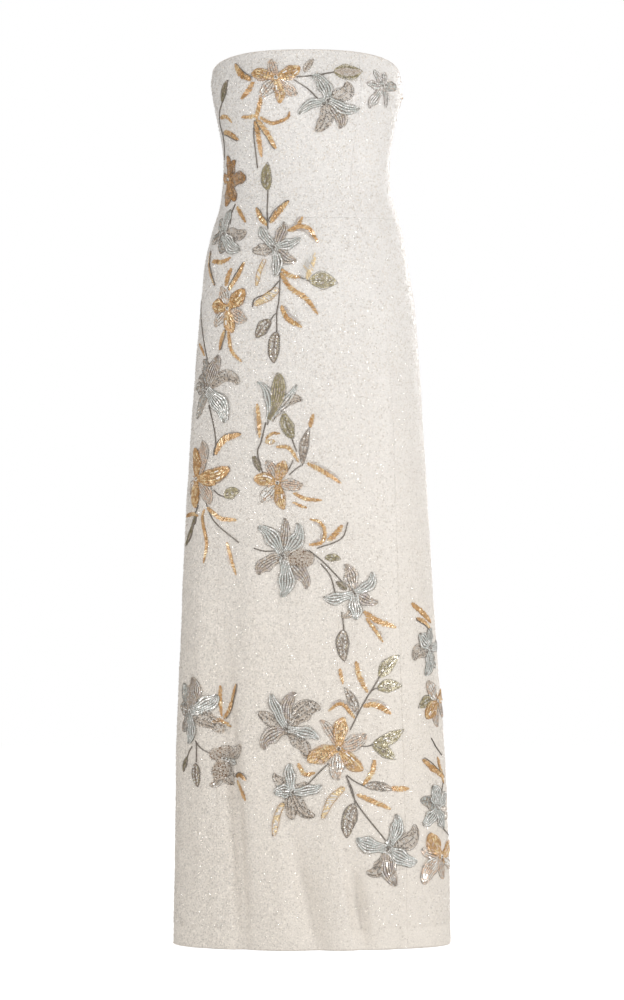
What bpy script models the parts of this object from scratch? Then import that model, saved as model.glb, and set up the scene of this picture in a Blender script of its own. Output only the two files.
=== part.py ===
"""A strapless, full-length, close-fitting evening dress, filled out as it is worn and open at neck and hem.

Metres, +Z up. The wearer's front faces -Y and +X is at the right of a person who looks at that front. The
origin lies on the dress's middle line at the height of the bust, where the dress is held up.

Every cloth piece is a curved wall. Its outer face is read from one surface, given by the level sections in
SECTIONS with the bust cups and the folds added, and its inner face lies one thickness further in.
"""

import math
from collections import namedtuple

import bmesh
import bpy
import numpy as np

MM = 0.001

# Driving sizes, in millimetres
GAP = 0.3  # between neighbouring pieces
WALL = 2.0  # beaded cloth
HEM_WALL = 3.0  # where the hem is turned up inside
HEM_DEPTH = 30.0
HEM = -1248.3  # height of the lower edge
WAIST_SEAM = -195.0  # height of the seam between bodice and skirt, just under the waist

# Top edge: it arches up at the middle of the front and falls to the back.
NECK_FRONT, NECK_SIDE, NECK_BACK = 46.5, 20.0, 12.0
NECK_ROUNDING = 1.2

# Level sections. Half of the breadth, the depth in front of and behind the middle line, how square the
# section is (2 is an ellipse), and how far it leans to +X.
Section = namedtuple("Section", "z half_breadth front back square lean")
SECTIONS = [
    Section(60, 131.0, 97, 102, 2.25, -2.0),
    Section(26, 133.5, 101, 103, 2.30, -2.0),
    Section(6, 137.5, 104, 104, 2.35, -1.0),
    Section(-12, 136.5, 104, 104, 2.35, 0.5),
    Section(-32, 132.5, 101, 103, 2.30, 0.0),
    Section(-61, 126.6, 96, 98, 2.25, -0.5),
    Section(-90, 122.3, 91, 91, 2.20, -0.5),
    Section(-120, 120.8, 89, 86, 2.20, -0.5),
    Section(-149, 122.3, 91, 87, 2.20, -0.5),
    Section(-178, 128.2, 96, 92, 2.20, 0.5),
    Section(-207, 137.0, 101, 98, 2.20, 0.0),
    Section(-251, 146.2, 107, 106, 2.20, -1.0),
    Section(-310, 154.5, 111, 113, 2.15, 0.5),
    Section(-397, 162.0, 113, 119, 2.15, 0.5),
    Section(-514, 169.8, 113, 117, 2.10, 0.0),
    Section(-660, 178.5, 112, 114, 2.10, 0.5),
    Section(-806, 186.0, 113, 114, 2.10, 2.0),
    Section(-952, 195.0, 114, 117, 2.10, 4.5),
    Section(-1098, 199.3, 115, 121, 2.10, 7.0),
    Section(HEM, 202.3, 116, 125, 2.10, 7.5),
]

# The sewn cups of the bodice front, mirrored to both sides
Cup = namedtuple("Cup", "x z half_width half_height rise")
CUP = Cup(62, -10, 50, 52, 13)

# Soft folds, fallen in (negative depth) or standing out (positive). x is measured from the middle line.
Fold = namedtuple("Fold", "face x_high z_high x_low z_low half_width depth")
FOLDS = [
    Fold("front", -98, -1010, -92, -1420, 17, -7.0),
    Fold("front", -24, -1030, 20, -1330, 18, -8.0),
    Fold("front", 62, -1060, 90, -1380, 17, -7.0),
    Fold("front", -119, -640, -112, -930, 22, -5.0),
    Fold("front", -86, -600, -72, -1010, 17, 3.5),
    Fold("front", -156, -620, -158, -1180, 18, 4.0),
    Fold("front", 30, -1000, 54, -1420, 20, 4.0),
    Fold("front", -58, -1050, -38, -1420, 20, 4.0),
    Fold("front", 128, -760, 138, -1420, 20, -4.0),
    Fold("front", 30, -560, 18, -900, 26, -2.5),
    Fold("back", -134, -700, -120, -1420, 24, -5.0),
    Fold("back", -66, -860, -52, -1420, 22, -7.0),
    Fold("back", -12, -640, -22, -1200, 26, 4.0),
    Fold("back", 38, -930, 30, -1420, 20, -6.5),
    Fold("back", 88, -760, 96, -1420, 24, 5.0),
    Fold("back", 140, -880, 146, -1420, 22, -6.0),
]

# Where the front princess seam runs, as its distance from the middle line at each height
SeamPoint = namedtuple("SeamPoint", "z x")
FRONT_SEAM = [
    SeamPoint(60, 76),
    SeamPoint(-10, 73),
    SeamPoint(-60, 70),
    SeamPoint(-190, 70),
    SeamPoint(-222, 83),
    SeamPoint(-269, 103),
    SeamPoint(-349, 112),
    SeamPoint(-455, 122),
    SeamPoint(-700, 130),
    SeamPoint(-1300, 140),
]

# Heights of the rows of points down the skirt, closer together where the outline or the folds turn
SKIRT_ROWS = [
    HEM, HEM + HEM_DEPTH - 1.5, HEM + HEM_DEPTH, -1175, -1130, -1085, -1040, -990, -935, -875, -810,
    -745, -680, -615, -550, -488, -430, -376, -328, -288, -256, -232, -212, WAIST_SEAM - GAP / 2,
]
BODICE_ROWS = 13

# Around the dress, a position is the share of a half turn from the middle of the front: +1 and -1 are the
# middle of the back.
SIDE_SEAM = 0.5
BACK_SEAM = 1.0

# Zip: the tape lies inside, and the slider is parked at the top in a notch between the back pieces.
ZIP_TAPE_WIDTH, ZIP_TAPE_WALL, ZIP_TAPE_LOW = 24.0, 0.9, -345.0
NOTCH_DEPTH, NOTCH_WIDTH = 13.0, 7.6
SLIDER_WIDTH, SLIDER_HEIGHT, SLIDER_DEPTH = 7.0, 11.0, 3.6
PIN_RADIUS, PIN_CLEARANCE, SLEEVE_WALL = 0.7, 0.3, 0.8
SLEEVE_WIDTH, LUG_WALL, LUG_GAP = 3.0, 1.2, 0.3
PULL_LENGTH, PULL_NECK, PULL_WIDTH, PULL_WALL = 19.0, 2.4, 5.4, 1.2
PIN_OUT = 2.6  # from the slider's outer face to the pin's axis

IVORY = (0.80, 0.76, 0.70)
TAPE_WHITE = (0.78, 0.75, 0.69)
PALE_METAL = (0.78, 0.76, 0.72)


def new_scene():
    """Empties the scene and returns the collections for the dress and for the shapes that are joined or cut."""
    for item in list(bpy.data.objects):
        bpy.data.objects.remove(item, do_unlink=True)
    made = []
    for name in ("strapless_evening_dress", "joined_shapes"):
        collection = bpy.data.collections.new(name)
        bpy.context.scene.collection.children.link(collection)
        made.append(collection)
    return made


def material(name, colour, roughness, metallic=0.0):
    made = bpy.data.materials.new(name)
    made.use_nodes = True
    shader = made.node_tree.nodes["Principled BSDF"]
    shader.inputs["Base Color"].default_value = (*colour, 1.0)
    shader.inputs["Roughness"].default_value = roughness
    shader.inputs["Metallic"].default_value = metallic
    return made


def smooth_rows(rows, z):
    """Reads every column of a table that goes down in z, on a smooth curve through its rows."""
    table = np.array(rows, dtype=float)
    heights, columns = table[::-1, 0], table[::-1, 1:]
    slopes = np.gradient(columns, heights, axis=0)
    z = min(max(z, heights[0]), heights[-1])
    k = int(np.clip(np.searchsorted(heights, z) - 1, 0, len(heights) - 2))
    span = heights[k + 1] - heights[k]
    t = (z - heights[k]) / span
    start, end = (1 + 2 * t) * (1 - t) ** 2, t * t * (3 - 2 * t)
    leave, arrive = t * (1 - t) ** 2 * span, t * t * (t - 1) * span
    return (
        start * columns[k]
        + end * columns[k + 1]
        + leave * slopes[k]
        + arrive * slopes[k + 1]
    )


def section_at(z):
    return Section(z, *smooth_rows(SECTIONS, z))


def front_seam_x(z):
    return float(smooth_rows(FRONT_SEAM, z)[0])


def share_at(x, section, face="front"):
    """The position around the section whose distance from its middle line is x, in front or behind."""
    across = min(abs(x) / section.half_breadth, 1.0)
    along = (1.0 - across**section.square) ** (1.0 / section.square)
    share = math.atan2(across, along) / math.pi
    if face == "back":
        share = 1.0 - share
    return math.copysign(share, x)


def arc_length(share_a, share_b, section):
    """Rough length of cloth between two positions, from the section's mean radius."""
    turn = abs(share_a - share_b) % 2.0
    turn = min(turn, 2.0 - turn)
    mean_radius = (section.half_breadth + (section.front + section.back) / 2) / 2
    return turn * math.pi * mean_radius


def fold_depth(share, section):
    total = 0.0
    for fold in FOLDS:
        down = (fold.z_high - section.z) / (fold.z_high - fold.z_low)
        if not 0.0 < down < 1.0:
            continue
        x = fold.x_high + (fold.x_low - fold.x_high) * down
        aside = arc_length(share, share_at(x, section, fold.face), section)
        strength = math.sin(math.pi * down) ** 0.8
        total += fold.depth * strength * math.exp(-((aside / fold.half_width) ** 2))
    return total


def cup_rise(x, y, z):
    if y > 0:
        return 0.0
    aside = (abs(x) - CUP.x) / CUP.half_width
    up = (z - CUP.z) / CUP.half_height
    return CUP.rise * math.exp(-(aside**2) - up**2)


def cloth_point(share, z, inward):
    """A point of the dress, inward millimetres inside its outer face."""
    section = section_at(z)
    turn = math.pi * share
    across, ahead = math.sin(turn), math.cos(turn)
    power = section.square
    reach = (abs(across) ** power + abs(ahead) ** power) ** (-1.0 / power)
    across, ahead = across * reach, ahead * reach
    depth = section.front if ahead > 0 else section.back
    x, y = section.half_breadth * across, -depth * ahead
    out_x = math.copysign(abs(across) ** (power - 1), across) / section.half_breadth
    out_y = -math.copysign(abs(ahead) ** (power - 1), ahead) / depth
    size = math.hypot(out_x, out_y)
    move = (cup_rise(x, y, z) + fold_depth(share, section) - inward) / size
    return x + section.lean + out_x * move, y + out_y * move, z


def neckline(share):
    """Height of the top edge. It is highest at the front and keeps falling behind the side seams."""
    ahead = math.cos(math.pi * share)
    if ahead > 0:
        rise = 1.0 - (1.0 - ahead) ** NECK_ROUNDING
        return NECK_SIDE + (NECK_FRONT - NECK_SIDE) * rise
    return NECK_SIDE + (NECK_SIDE - NECK_BACK) * -(ahead**2)


def beside(share, z, millimetres):
    """The position that lies the given length of cloth further round."""
    section = section_at(z)
    return share + millimetres / (arc_length(0.0, 0.5, section) / 0.5)


def back_edge_half_gap(z):
    """Half of the gap between the back pieces: a seam, and the zip's notch at the top."""
    return NOTCH_WIDTH / 2 if z > NECK_BACK - NOTCH_DEPTH else GAP / 2


def seam_share(seam, z):
    """Where a seam runs: front, side or back, on the +X side."""
    if seam == "front":
        return share_at(front_seam_x(z), section_at(z))
    return SIDE_SEAM if seam == "side" else BACK_SEAM


def wall_at(z):
    return HEM_WALL if z < HEM + HEM_DEPTH - 1.0 else WALL


def skirt_heights(_share):
    return SKIRT_ROWS


def bodice_heights(share):
    low = WAIST_SEAM + GAP / 2
    return [low + (neckline(share) - low) * row / BODICE_ROWS for row in range(BODICE_ROWS + 1)]


def notched_heights(share):
    """Bodice rows for a back piece, with a close pair of rows where the zip's notch begins."""
    low, notch = WAIST_SEAM + GAP / 2, NECK_BACK - NOTCH_DEPTH
    below = BODICE_ROWS - 1
    rows = [low + (notch - low) * row / below for row in range(below + 1)]
    return [*rows, notch + GAP, neckline(share)]


def panel_grid(edges, columns, heights_of):
    """Outer and inner points, row by row from the bottom. edges gives both borders at a height."""
    outer, inner = [], []
    for row in range(len(heights_of(0.0))):
        outer.append([])
        inner.append([])
        for column in range(columns + 1):
            z = heights_of(0.0)[row]
            for _ in range(3):
                left, right = edges(z)
                share = left + (right - left) * column / columns
                z = heights_of(share)[row]
            outer[-1].append(cloth_point(share, z, 0.0))
            inner[-1].append(cloth_point(share, z, wall_at(z)))
    return outer, inner


def wall_object(name, outer, inner, collection, made_of):
    """One closed wall between two grids of points whose rows go up and whose columns go round with +X first."""
    rows, columns = len(outer), len(outer[0])
    points = [p for grid in (outer, inner) for line in grid for p in line]
    start = rows * columns

    def at(row, column, side):
        return side * start + row * columns + column

    faces = []
    for r in range(rows - 1):
        for c in range(columns - 1):
            faces.append([at(r, c, 0), at(r, c + 1, 0), at(r + 1, c + 1, 0), at(r + 1, c, 0)])
            faces.append([at(r, c, 1), at(r + 1, c, 1), at(r + 1, c + 1, 1), at(r, c + 1, 1)])
    for c in range(columns - 1):
        low, high = 0, rows - 1
        faces.append([at(low, c, 1), at(low, c + 1, 1), at(low, c + 1, 0), at(low, c, 0)])
        faces.append([at(high, c, 0), at(high, c + 1, 0), at(high, c + 1, 1), at(high, c, 1)])
    for r in range(rows - 1):
        first, last = 0, columns - 1
        faces.append([at(r, first, 0), at(r + 1, first, 0), at(r + 1, first, 1), at(r, first, 1)])
        faces.append([at(r, last, 1), at(r + 1, last, 1), at(r + 1, last, 0), at(r, last, 0)])
    mesh = bpy.data.meshes.new(name)
    mesh.from_pydata([tuple(v * MM for v in p) for p in points], [], faces)
    mesh.shade_smooth()
    mesh.set_sharp_from_angle(angle=math.radians(50))
    mesh.materials.append(made_of)
    made = bpy.data.objects.new(name, mesh)
    collection.objects.link(made)
    return made


def between(left_seam, right_seam):
    """Borders of a panel. A seam is (name, side): side -1 is the -X side of the dress, +1 the +X side."""

    def edges(z):
        found = []
        for (seam, side), inwards in ((left_seam, 1), (right_seam, -1)):
            half_gap = back_edge_half_gap(z) if seam == "back" else GAP / 2
            found.append(beside(side * seam_share(seam, z), z, inwards * half_gap))
        return found

    return edges


# Panels: the seams at both borders, how many columns, and whether the zip's notch is cut into it
Panel = namedtuple("Panel", "name left right bodice_columns skirt_columns")
PANELS = [
    Panel("front_centre", ("front", -1), ("front", 1), 12, 18),
    Panel("front_side_left", ("side", -1), ("front", -1), 7, 8),
    Panel("front_side_right", ("front", 1), ("side", 1), 7, 8),
    Panel("back_left", ("back", -1), ("side", -1), 13, 17),
    Panel("back_right", ("side", 1), ("back", 1), 13, 17),
]


def cloth_panels(collection):
    for panel in PANELS:
        edges = between(panel.left, panel.right)
        notched = "back" in (panel.left[0], panel.right[0])
        heights = notched_heights if notched else bodice_heights
        for part, columns, heights_of in (
            ("bodice", panel.bodice_columns, heights),
            ("skirt", panel.skirt_columns, skirt_heights),
        ):
            name = f"{part}_{panel.name}"
            outer, inner = panel_grid(edges, columns, heights_of)
            wall_object(name, outer, inner, collection, material(name, IVORY, 0.45))


def zip_tape(collection):
    """The tape behind the centre back seam, one gap inside the cloth."""
    high = NECK_BACK - NOTCH_DEPTH - GAP
    rows, columns = 16, 2
    outer, inner = [], []
    for row in range(rows + 1):
        z = ZIP_TAPE_LOW + (high - ZIP_TAPE_LOW) * row / rows
        outer.append([])
        inner.append([])
        for column in range(columns + 1):
            aside = ZIP_TAPE_WIDTH * (column / columns - 0.5)
            share = beside(BACK_SEAM, z, aside)
            outer[-1].append(cloth_point(share, z, WALL + GAP + 0.1))
            inner[-1].append(cloth_point(share, z, WALL + GAP + 0.1 + ZIP_TAPE_WALL))
    wall_object("zip_tape", outer, inner, collection, material("zip_tape", TAPE_WHITE, 0.8))


def box(name, collection, low, high):
    mesh = bpy.data.meshes.new(name)
    shape = bmesh.new()
    bmesh.ops.create_cube(shape, size=1.0)
    for corner in shape.verts:
        for axis in range(3):
            middle = (low[axis] + high[axis]) / 2
            corner.co[axis] = (middle + corner.co[axis] * (high[axis] - low[axis])) * MM
    shape.to_mesh(mesh)
    shape.free()
    made = bpy.data.objects.new(name, mesh)
    collection.objects.link(made)
    return made


def rod_along_x(name, collection, radius, half_length, y, z):
    mesh = bpy.data.meshes.new(name)
    shape = bmesh.new()
    bmesh.ops.create_cone(
        shape,
        cap_ends=True,
        segments=24,
        radius1=radius * MM,
        radius2=radius * MM,
        depth=2 * half_length * MM,
    )
    for corner in shape.verts:
        along, aside, up = corner.co.z, corner.co.y, corner.co.x
        corner.co = (along, aside + y * MM, -up + z * MM)
    bmesh.ops.recalc_face_normals(shape, faces=shape.faces)
    shape.to_mesh(mesh)
    shape.free()
    made = bpy.data.objects.new(name, mesh)
    collection.objects.link(made)
    return made


def combine(target, other, operation):
    other.hide_render = True
    other.display_type = "WIRE"
    change = target.modifiers.new(f"{operation.lower()}_{other.name}", "BOOLEAN")
    change.operation = operation
    change.object = other


def zip_pull_tab(collection, shapes):
    """Slider in the notch, and its pull tab, which hangs from the slider's cross pin."""
    outer_face = cloth_point(BACK_SEAM, NECK_BACK - NOTCH_DEPTH, 0.0)[1]
    slider_back = outer_face + (SLIDER_DEPTH - WALL) / 2
    middle_x = section_at(NECK_BACK - NOTCH_DEPTH / 2).lean
    low = NECK_BACK - NOTCH_DEPTH + 2 * GAP
    pin_y = slider_back + PIN_OUT
    pin_z = low + SLIDER_HEIGHT * 0.6

    slider = box(
        "zip_slider",
        collection,
        (middle_x - SLIDER_WIDTH / 2, slider_back - SLIDER_DEPTH, low),
        (middle_x + SLIDER_WIDTH / 2, slider_back, low + SLIDER_HEIGHT),
    )
    lug_inside = SLEEVE_WIDTH / 2 + LUG_GAP
    for side in (-1, 1):
        near, far = sorted((side * lug_inside, side * (lug_inside + LUG_WALL)))
        lug = box(
            f"lug_{side}",
            shapes,
            (middle_x + near, slider_back - 0.6, pin_z - 1.5),
            (middle_x + far, pin_y + 1.3, pin_z + 1.5),
        )
        combine(slider, lug, "UNION")
    pin = rod_along_x("pin", shapes, PIN_RADIUS, lug_inside + LUG_WALL / 2, pin_y, pin_z)
    pin.location.x = middle_x * MM
    combine(slider, pin, "UNION")
    slider.data.materials.append(material("zip_slider", PALE_METAL, 0.3, 1.0))

    hole_radius = PIN_RADIUS + PIN_CLEARANCE
    sleeve = rod_along_x(
        "sleeve", shapes, hole_radius + SLEEVE_WALL, SLEEVE_WIDTH / 2, pin_y, pin_z
    )
    sleeve.location.x = middle_x * MM
    hole = rod_along_x("pin_hole", shapes, hole_radius, SLEEVE_WIDTH, pin_y, pin_z)
    hole.location.x = middle_x * MM
    pull = pull_blade(collection, middle_x, pin_y, pin_z - hole_radius)
    combine(pull, sleeve, "UNION")
    combine(pull, hole, "DIFFERENCE")
    pull.data.materials.append(material("zip_pull", PALE_METAL, 0.3, 1.0))


def pull_blade(collection, middle_x, y, top):
    """The pull tab's flat blade: a narrow neck that widens to a round end."""
    round_steps = 10
    end_radius = PULL_WIDTH / 2
    round_z = top - PULL_LENGTH + end_radius
    side = [(PULL_NECK / 2, top), (PULL_NECK / 2, top - 3.0)]
    for step in range(round_steps + 1):
        turn = math.pi * (0.02 + 0.48 * step / round_steps)
        side.append((end_radius * math.cos(turn), round_z - end_radius * math.sin(turn)))
    outline = side + [(-x, z) for x, z in reversed(side[:-1])]
    count = len(outline)
    points = []
    for face_y in (y + PULL_WALL / 2, y - PULL_WALL / 2):
        points.extend(((middle_x + x) * MM, face_y * MM, z * MM) for x, z in outline)
    faces = [list(range(count)), [count + i for i in reversed(range(count))]]
    for i in range(count):
        after = (i + 1) % count
        faces.append([i, count + i, count + after, after])
    mesh = bpy.data.meshes.new("zip_pull")
    mesh.from_pydata(points, [], faces)
    shape = bmesh.new()
    shape.from_mesh(mesh)
    bmesh.ops.recalc_face_normals(shape, faces=shape.faces)
    shape.to_mesh(mesh)
    shape.free()
    made = bpy.data.objects.new("zip_pull", mesh)
    collection.objects.link(made)
    return made


def main():
    dress, shapes = new_scene()
    cloth_panels(dress)
    zip_tape(dress)
    zip_pull_tab(dress, shapes)


main()
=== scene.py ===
"""Looks of a strapless, full-length evening dress of ivory beaded cloth with beaded lily sprays.

Sizes are in millimetres unless a name ends in _M. z is the height above the bust level, x runs to the right
of a person who looks at the front, and -Y is the front. "Along the cloth" is the distance round the dress
from the middle of the front, positive to +X. A place "as seen from the front" is where the camera's line of
sight crosses the plane through the dress's middle line.
"""

import math
from collections import namedtuple

import bpy
import numpy as np
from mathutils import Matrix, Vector


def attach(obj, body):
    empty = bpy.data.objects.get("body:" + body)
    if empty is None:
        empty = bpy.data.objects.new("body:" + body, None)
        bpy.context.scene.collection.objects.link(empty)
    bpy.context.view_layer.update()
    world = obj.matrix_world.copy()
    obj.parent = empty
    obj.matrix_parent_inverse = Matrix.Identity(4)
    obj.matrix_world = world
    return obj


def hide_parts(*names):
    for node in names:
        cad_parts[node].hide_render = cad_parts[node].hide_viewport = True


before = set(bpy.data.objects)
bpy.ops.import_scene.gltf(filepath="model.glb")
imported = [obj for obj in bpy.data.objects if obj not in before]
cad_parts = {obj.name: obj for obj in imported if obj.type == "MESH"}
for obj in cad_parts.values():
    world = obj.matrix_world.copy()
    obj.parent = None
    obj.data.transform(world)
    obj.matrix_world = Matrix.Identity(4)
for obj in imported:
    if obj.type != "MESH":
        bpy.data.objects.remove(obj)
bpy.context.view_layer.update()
BODY = "dress"
rng = np.random.default_rng(1947)

MM = 0.001

# ---------------------------------------------------------------- the dress's form, as in the solids

GAP = 0.3
WALL = 1.7  # a little less than the solids' wall, so that the shells never meet
HEM, HEM_DEPTH, WAIST_SEAM = -1248.3, 30.0, -195.0
NECK_FRONT, NECK_SIDE, NECK_BACK, NECK_ROUNDING = 46.5, 20.0, 12.0, 1.2
NOTCH_DEPTH, NOTCH_WIDTH = 13.0, 7.6

# Level sections from the top down. square is the power of the rounded outline, lean its shift to +X
Section = namedtuple("Section", "z half_breadth front back square lean")
SECTIONS = [
    (60, 131.0, 97, 102, 2.25, -2.0), (26, 133.5, 101, 103, 2.30, -2.0), (6, 137.5, 104, 104, 2.35, -1.0),
    (-12, 136.5, 104, 104, 2.35, 0.5), (-32, 132.5, 101, 103, 2.30, 0.0), (-61, 126.6, 96, 98, 2.25, -0.5),
    (-90, 122.3, 91, 91, 2.20, -0.5), (-120, 120.8, 89, 86, 2.20, -0.5), (-149, 122.3, 91, 87, 2.20, -0.5),
    (-178, 128.2, 96, 92, 2.20, 0.5), (-207, 137.0, 101, 98, 2.20, 0.0), (-251, 146.2, 107, 106, 2.20, -1.0),
    (-310, 154.5, 111, 113, 2.15, 0.5), (-397, 162.0, 113, 119, 2.15, 0.5),
    (-514, 169.8, 113, 117, 2.10, 0.0), (-660, 178.5, 112, 114, 2.10, 0.5),
    (-806, 186.0, 113, 114, 2.10, 2.0), (-952, 195.0, 114, 117, 2.10, 4.5),
    (-1098, 199.3, 115, 121, 2.10, 7.0), (HEM, 202.3, 116, 125, 2.10, 7.5),
]

Cup = namedtuple("Cup", "x z half_width half_height rise")
CUP = Cup(62, -10, 50, 52, 13)

# Soft folds of the solids, and the smaller creases of the cloth itself; depth is outwards
Fold = namedtuple("Fold", "x_high z_high x_low z_low half_width depth")
FOLDS = {
    "front": [
        (-98, -1010, -92, -1420, 17, -7.0), (-24, -1030, 20, -1330, 18, -8.0),
        (62, -1060, 90, -1380, 17, -7.0), (-119, -640, -112, -930, 22, -5.0),
        (-86, -600, -72, -1010, 17, 3.5), (-156, -620, -158, -1180, 18, 4.0), (30, -1000, 54, -1420, 20, 4.0),
        (-58, -1050, -38, -1420, 20, 4.0), (128, -760, 138, -1420, 20, -4.0), (30, -560, 18, -900, 26, -2.5),
    ],
    "back": [
        (-134, -700, -120, -1420, 24, -5.0), (-66, -860, -52, -1420, 22, -7.0),
        (-12, -640, -22, -1200, 26, 4.0), (38, -930, 30, -1420, 20, -6.5), (88, -760, 96, -1420, 24, 5.0),
        (140, -880, 146, -1420, 22, -6.0),
    ],
}
CREASES = {
    "front": [
        (-123, -800, -97, -1300, 9, -14.0), (-88, -900, -92, -1400, 14, 4.5),
        (-152, -1060, -154, -1400, 9, -2.2), (-38, -1060, 18, -1280, 9, -9.0),
        (49, -1100, 80, -1260, 9, -12.0), (82, -1080, 86, -1400, 11, 4.6), (120, -1000, 124, -1400, 7, -3.6),
        (-60, -1080, -56, -1400, 8, -1.2), (-128, -1040, -134, -1380, 10, -1.8),
        (44, -1120, 50, -1400, 9, -1.4), (158, -960, 162, -1400, 11, -1.8), (-40, -560, -46, -800, 12, -0.9),
        (70, -430, 76, -640, 10, -0.8), (96, -440, 104, -650, 9, -0.9), (126, -440, 130, -640, 10, -0.8),
        (-104, -236, -74, -330, 10, -0.9), (60, -205, 96, -262, 8, -0.8),
    ],
    "back": [
        (60, -400, 70, -760, 12, -1.2), (-90, -430, -96, -720, 12, -1.2), (-30, -1060, -24, -1400, 9, -1.6),
        (66, -1080, 62, -1400, 9, -1.5), (112, -1010, 120, -1400, 10, -1.8),
        (-100, -1040, -92, -1400, 10, -1.8),
    ],
}

FRONT_SEAM = [  # z, x
    (60, 76), (-10, 73), (-60, 70), (-190, 70), (-222, 83), (-269, 103), (-349, 112), (-455, 122),
    (-700, 130), (-1300, 140),
]

# Each border is a seam and the side of the dress that it is on
Panel = namedtuple("Panel", "name left right")
PANELS = [
    Panel("front_centre", ("front", -1), ("front", 1)),
    Panel("front_side_left", ("side", -1), ("front", -1)),
    Panel("front_side_right", ("front", 1), ("side", 1)),
    Panel("back_left", ("back", -1), ("side", -1)),
    Panel("back_right", ("side", 1), ("back", 1)),
]

# ---------------------------------------------------------------- camera

CAMERA_AWAY = 6500.0  # from the dress's middle line
SEEN_SCALE = 1.46  # millimetres of the middle plane for each pixel of the picture
PICTURE_HEIGHT = 1000
SENSOR_M = 0.036
CAMERA_X, CAMERA_Z = 7.3, -601.5
FARTHEST_SEEN_M = 60

# ---------------------------------------------------------------- beadwork, as seen from the front

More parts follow.
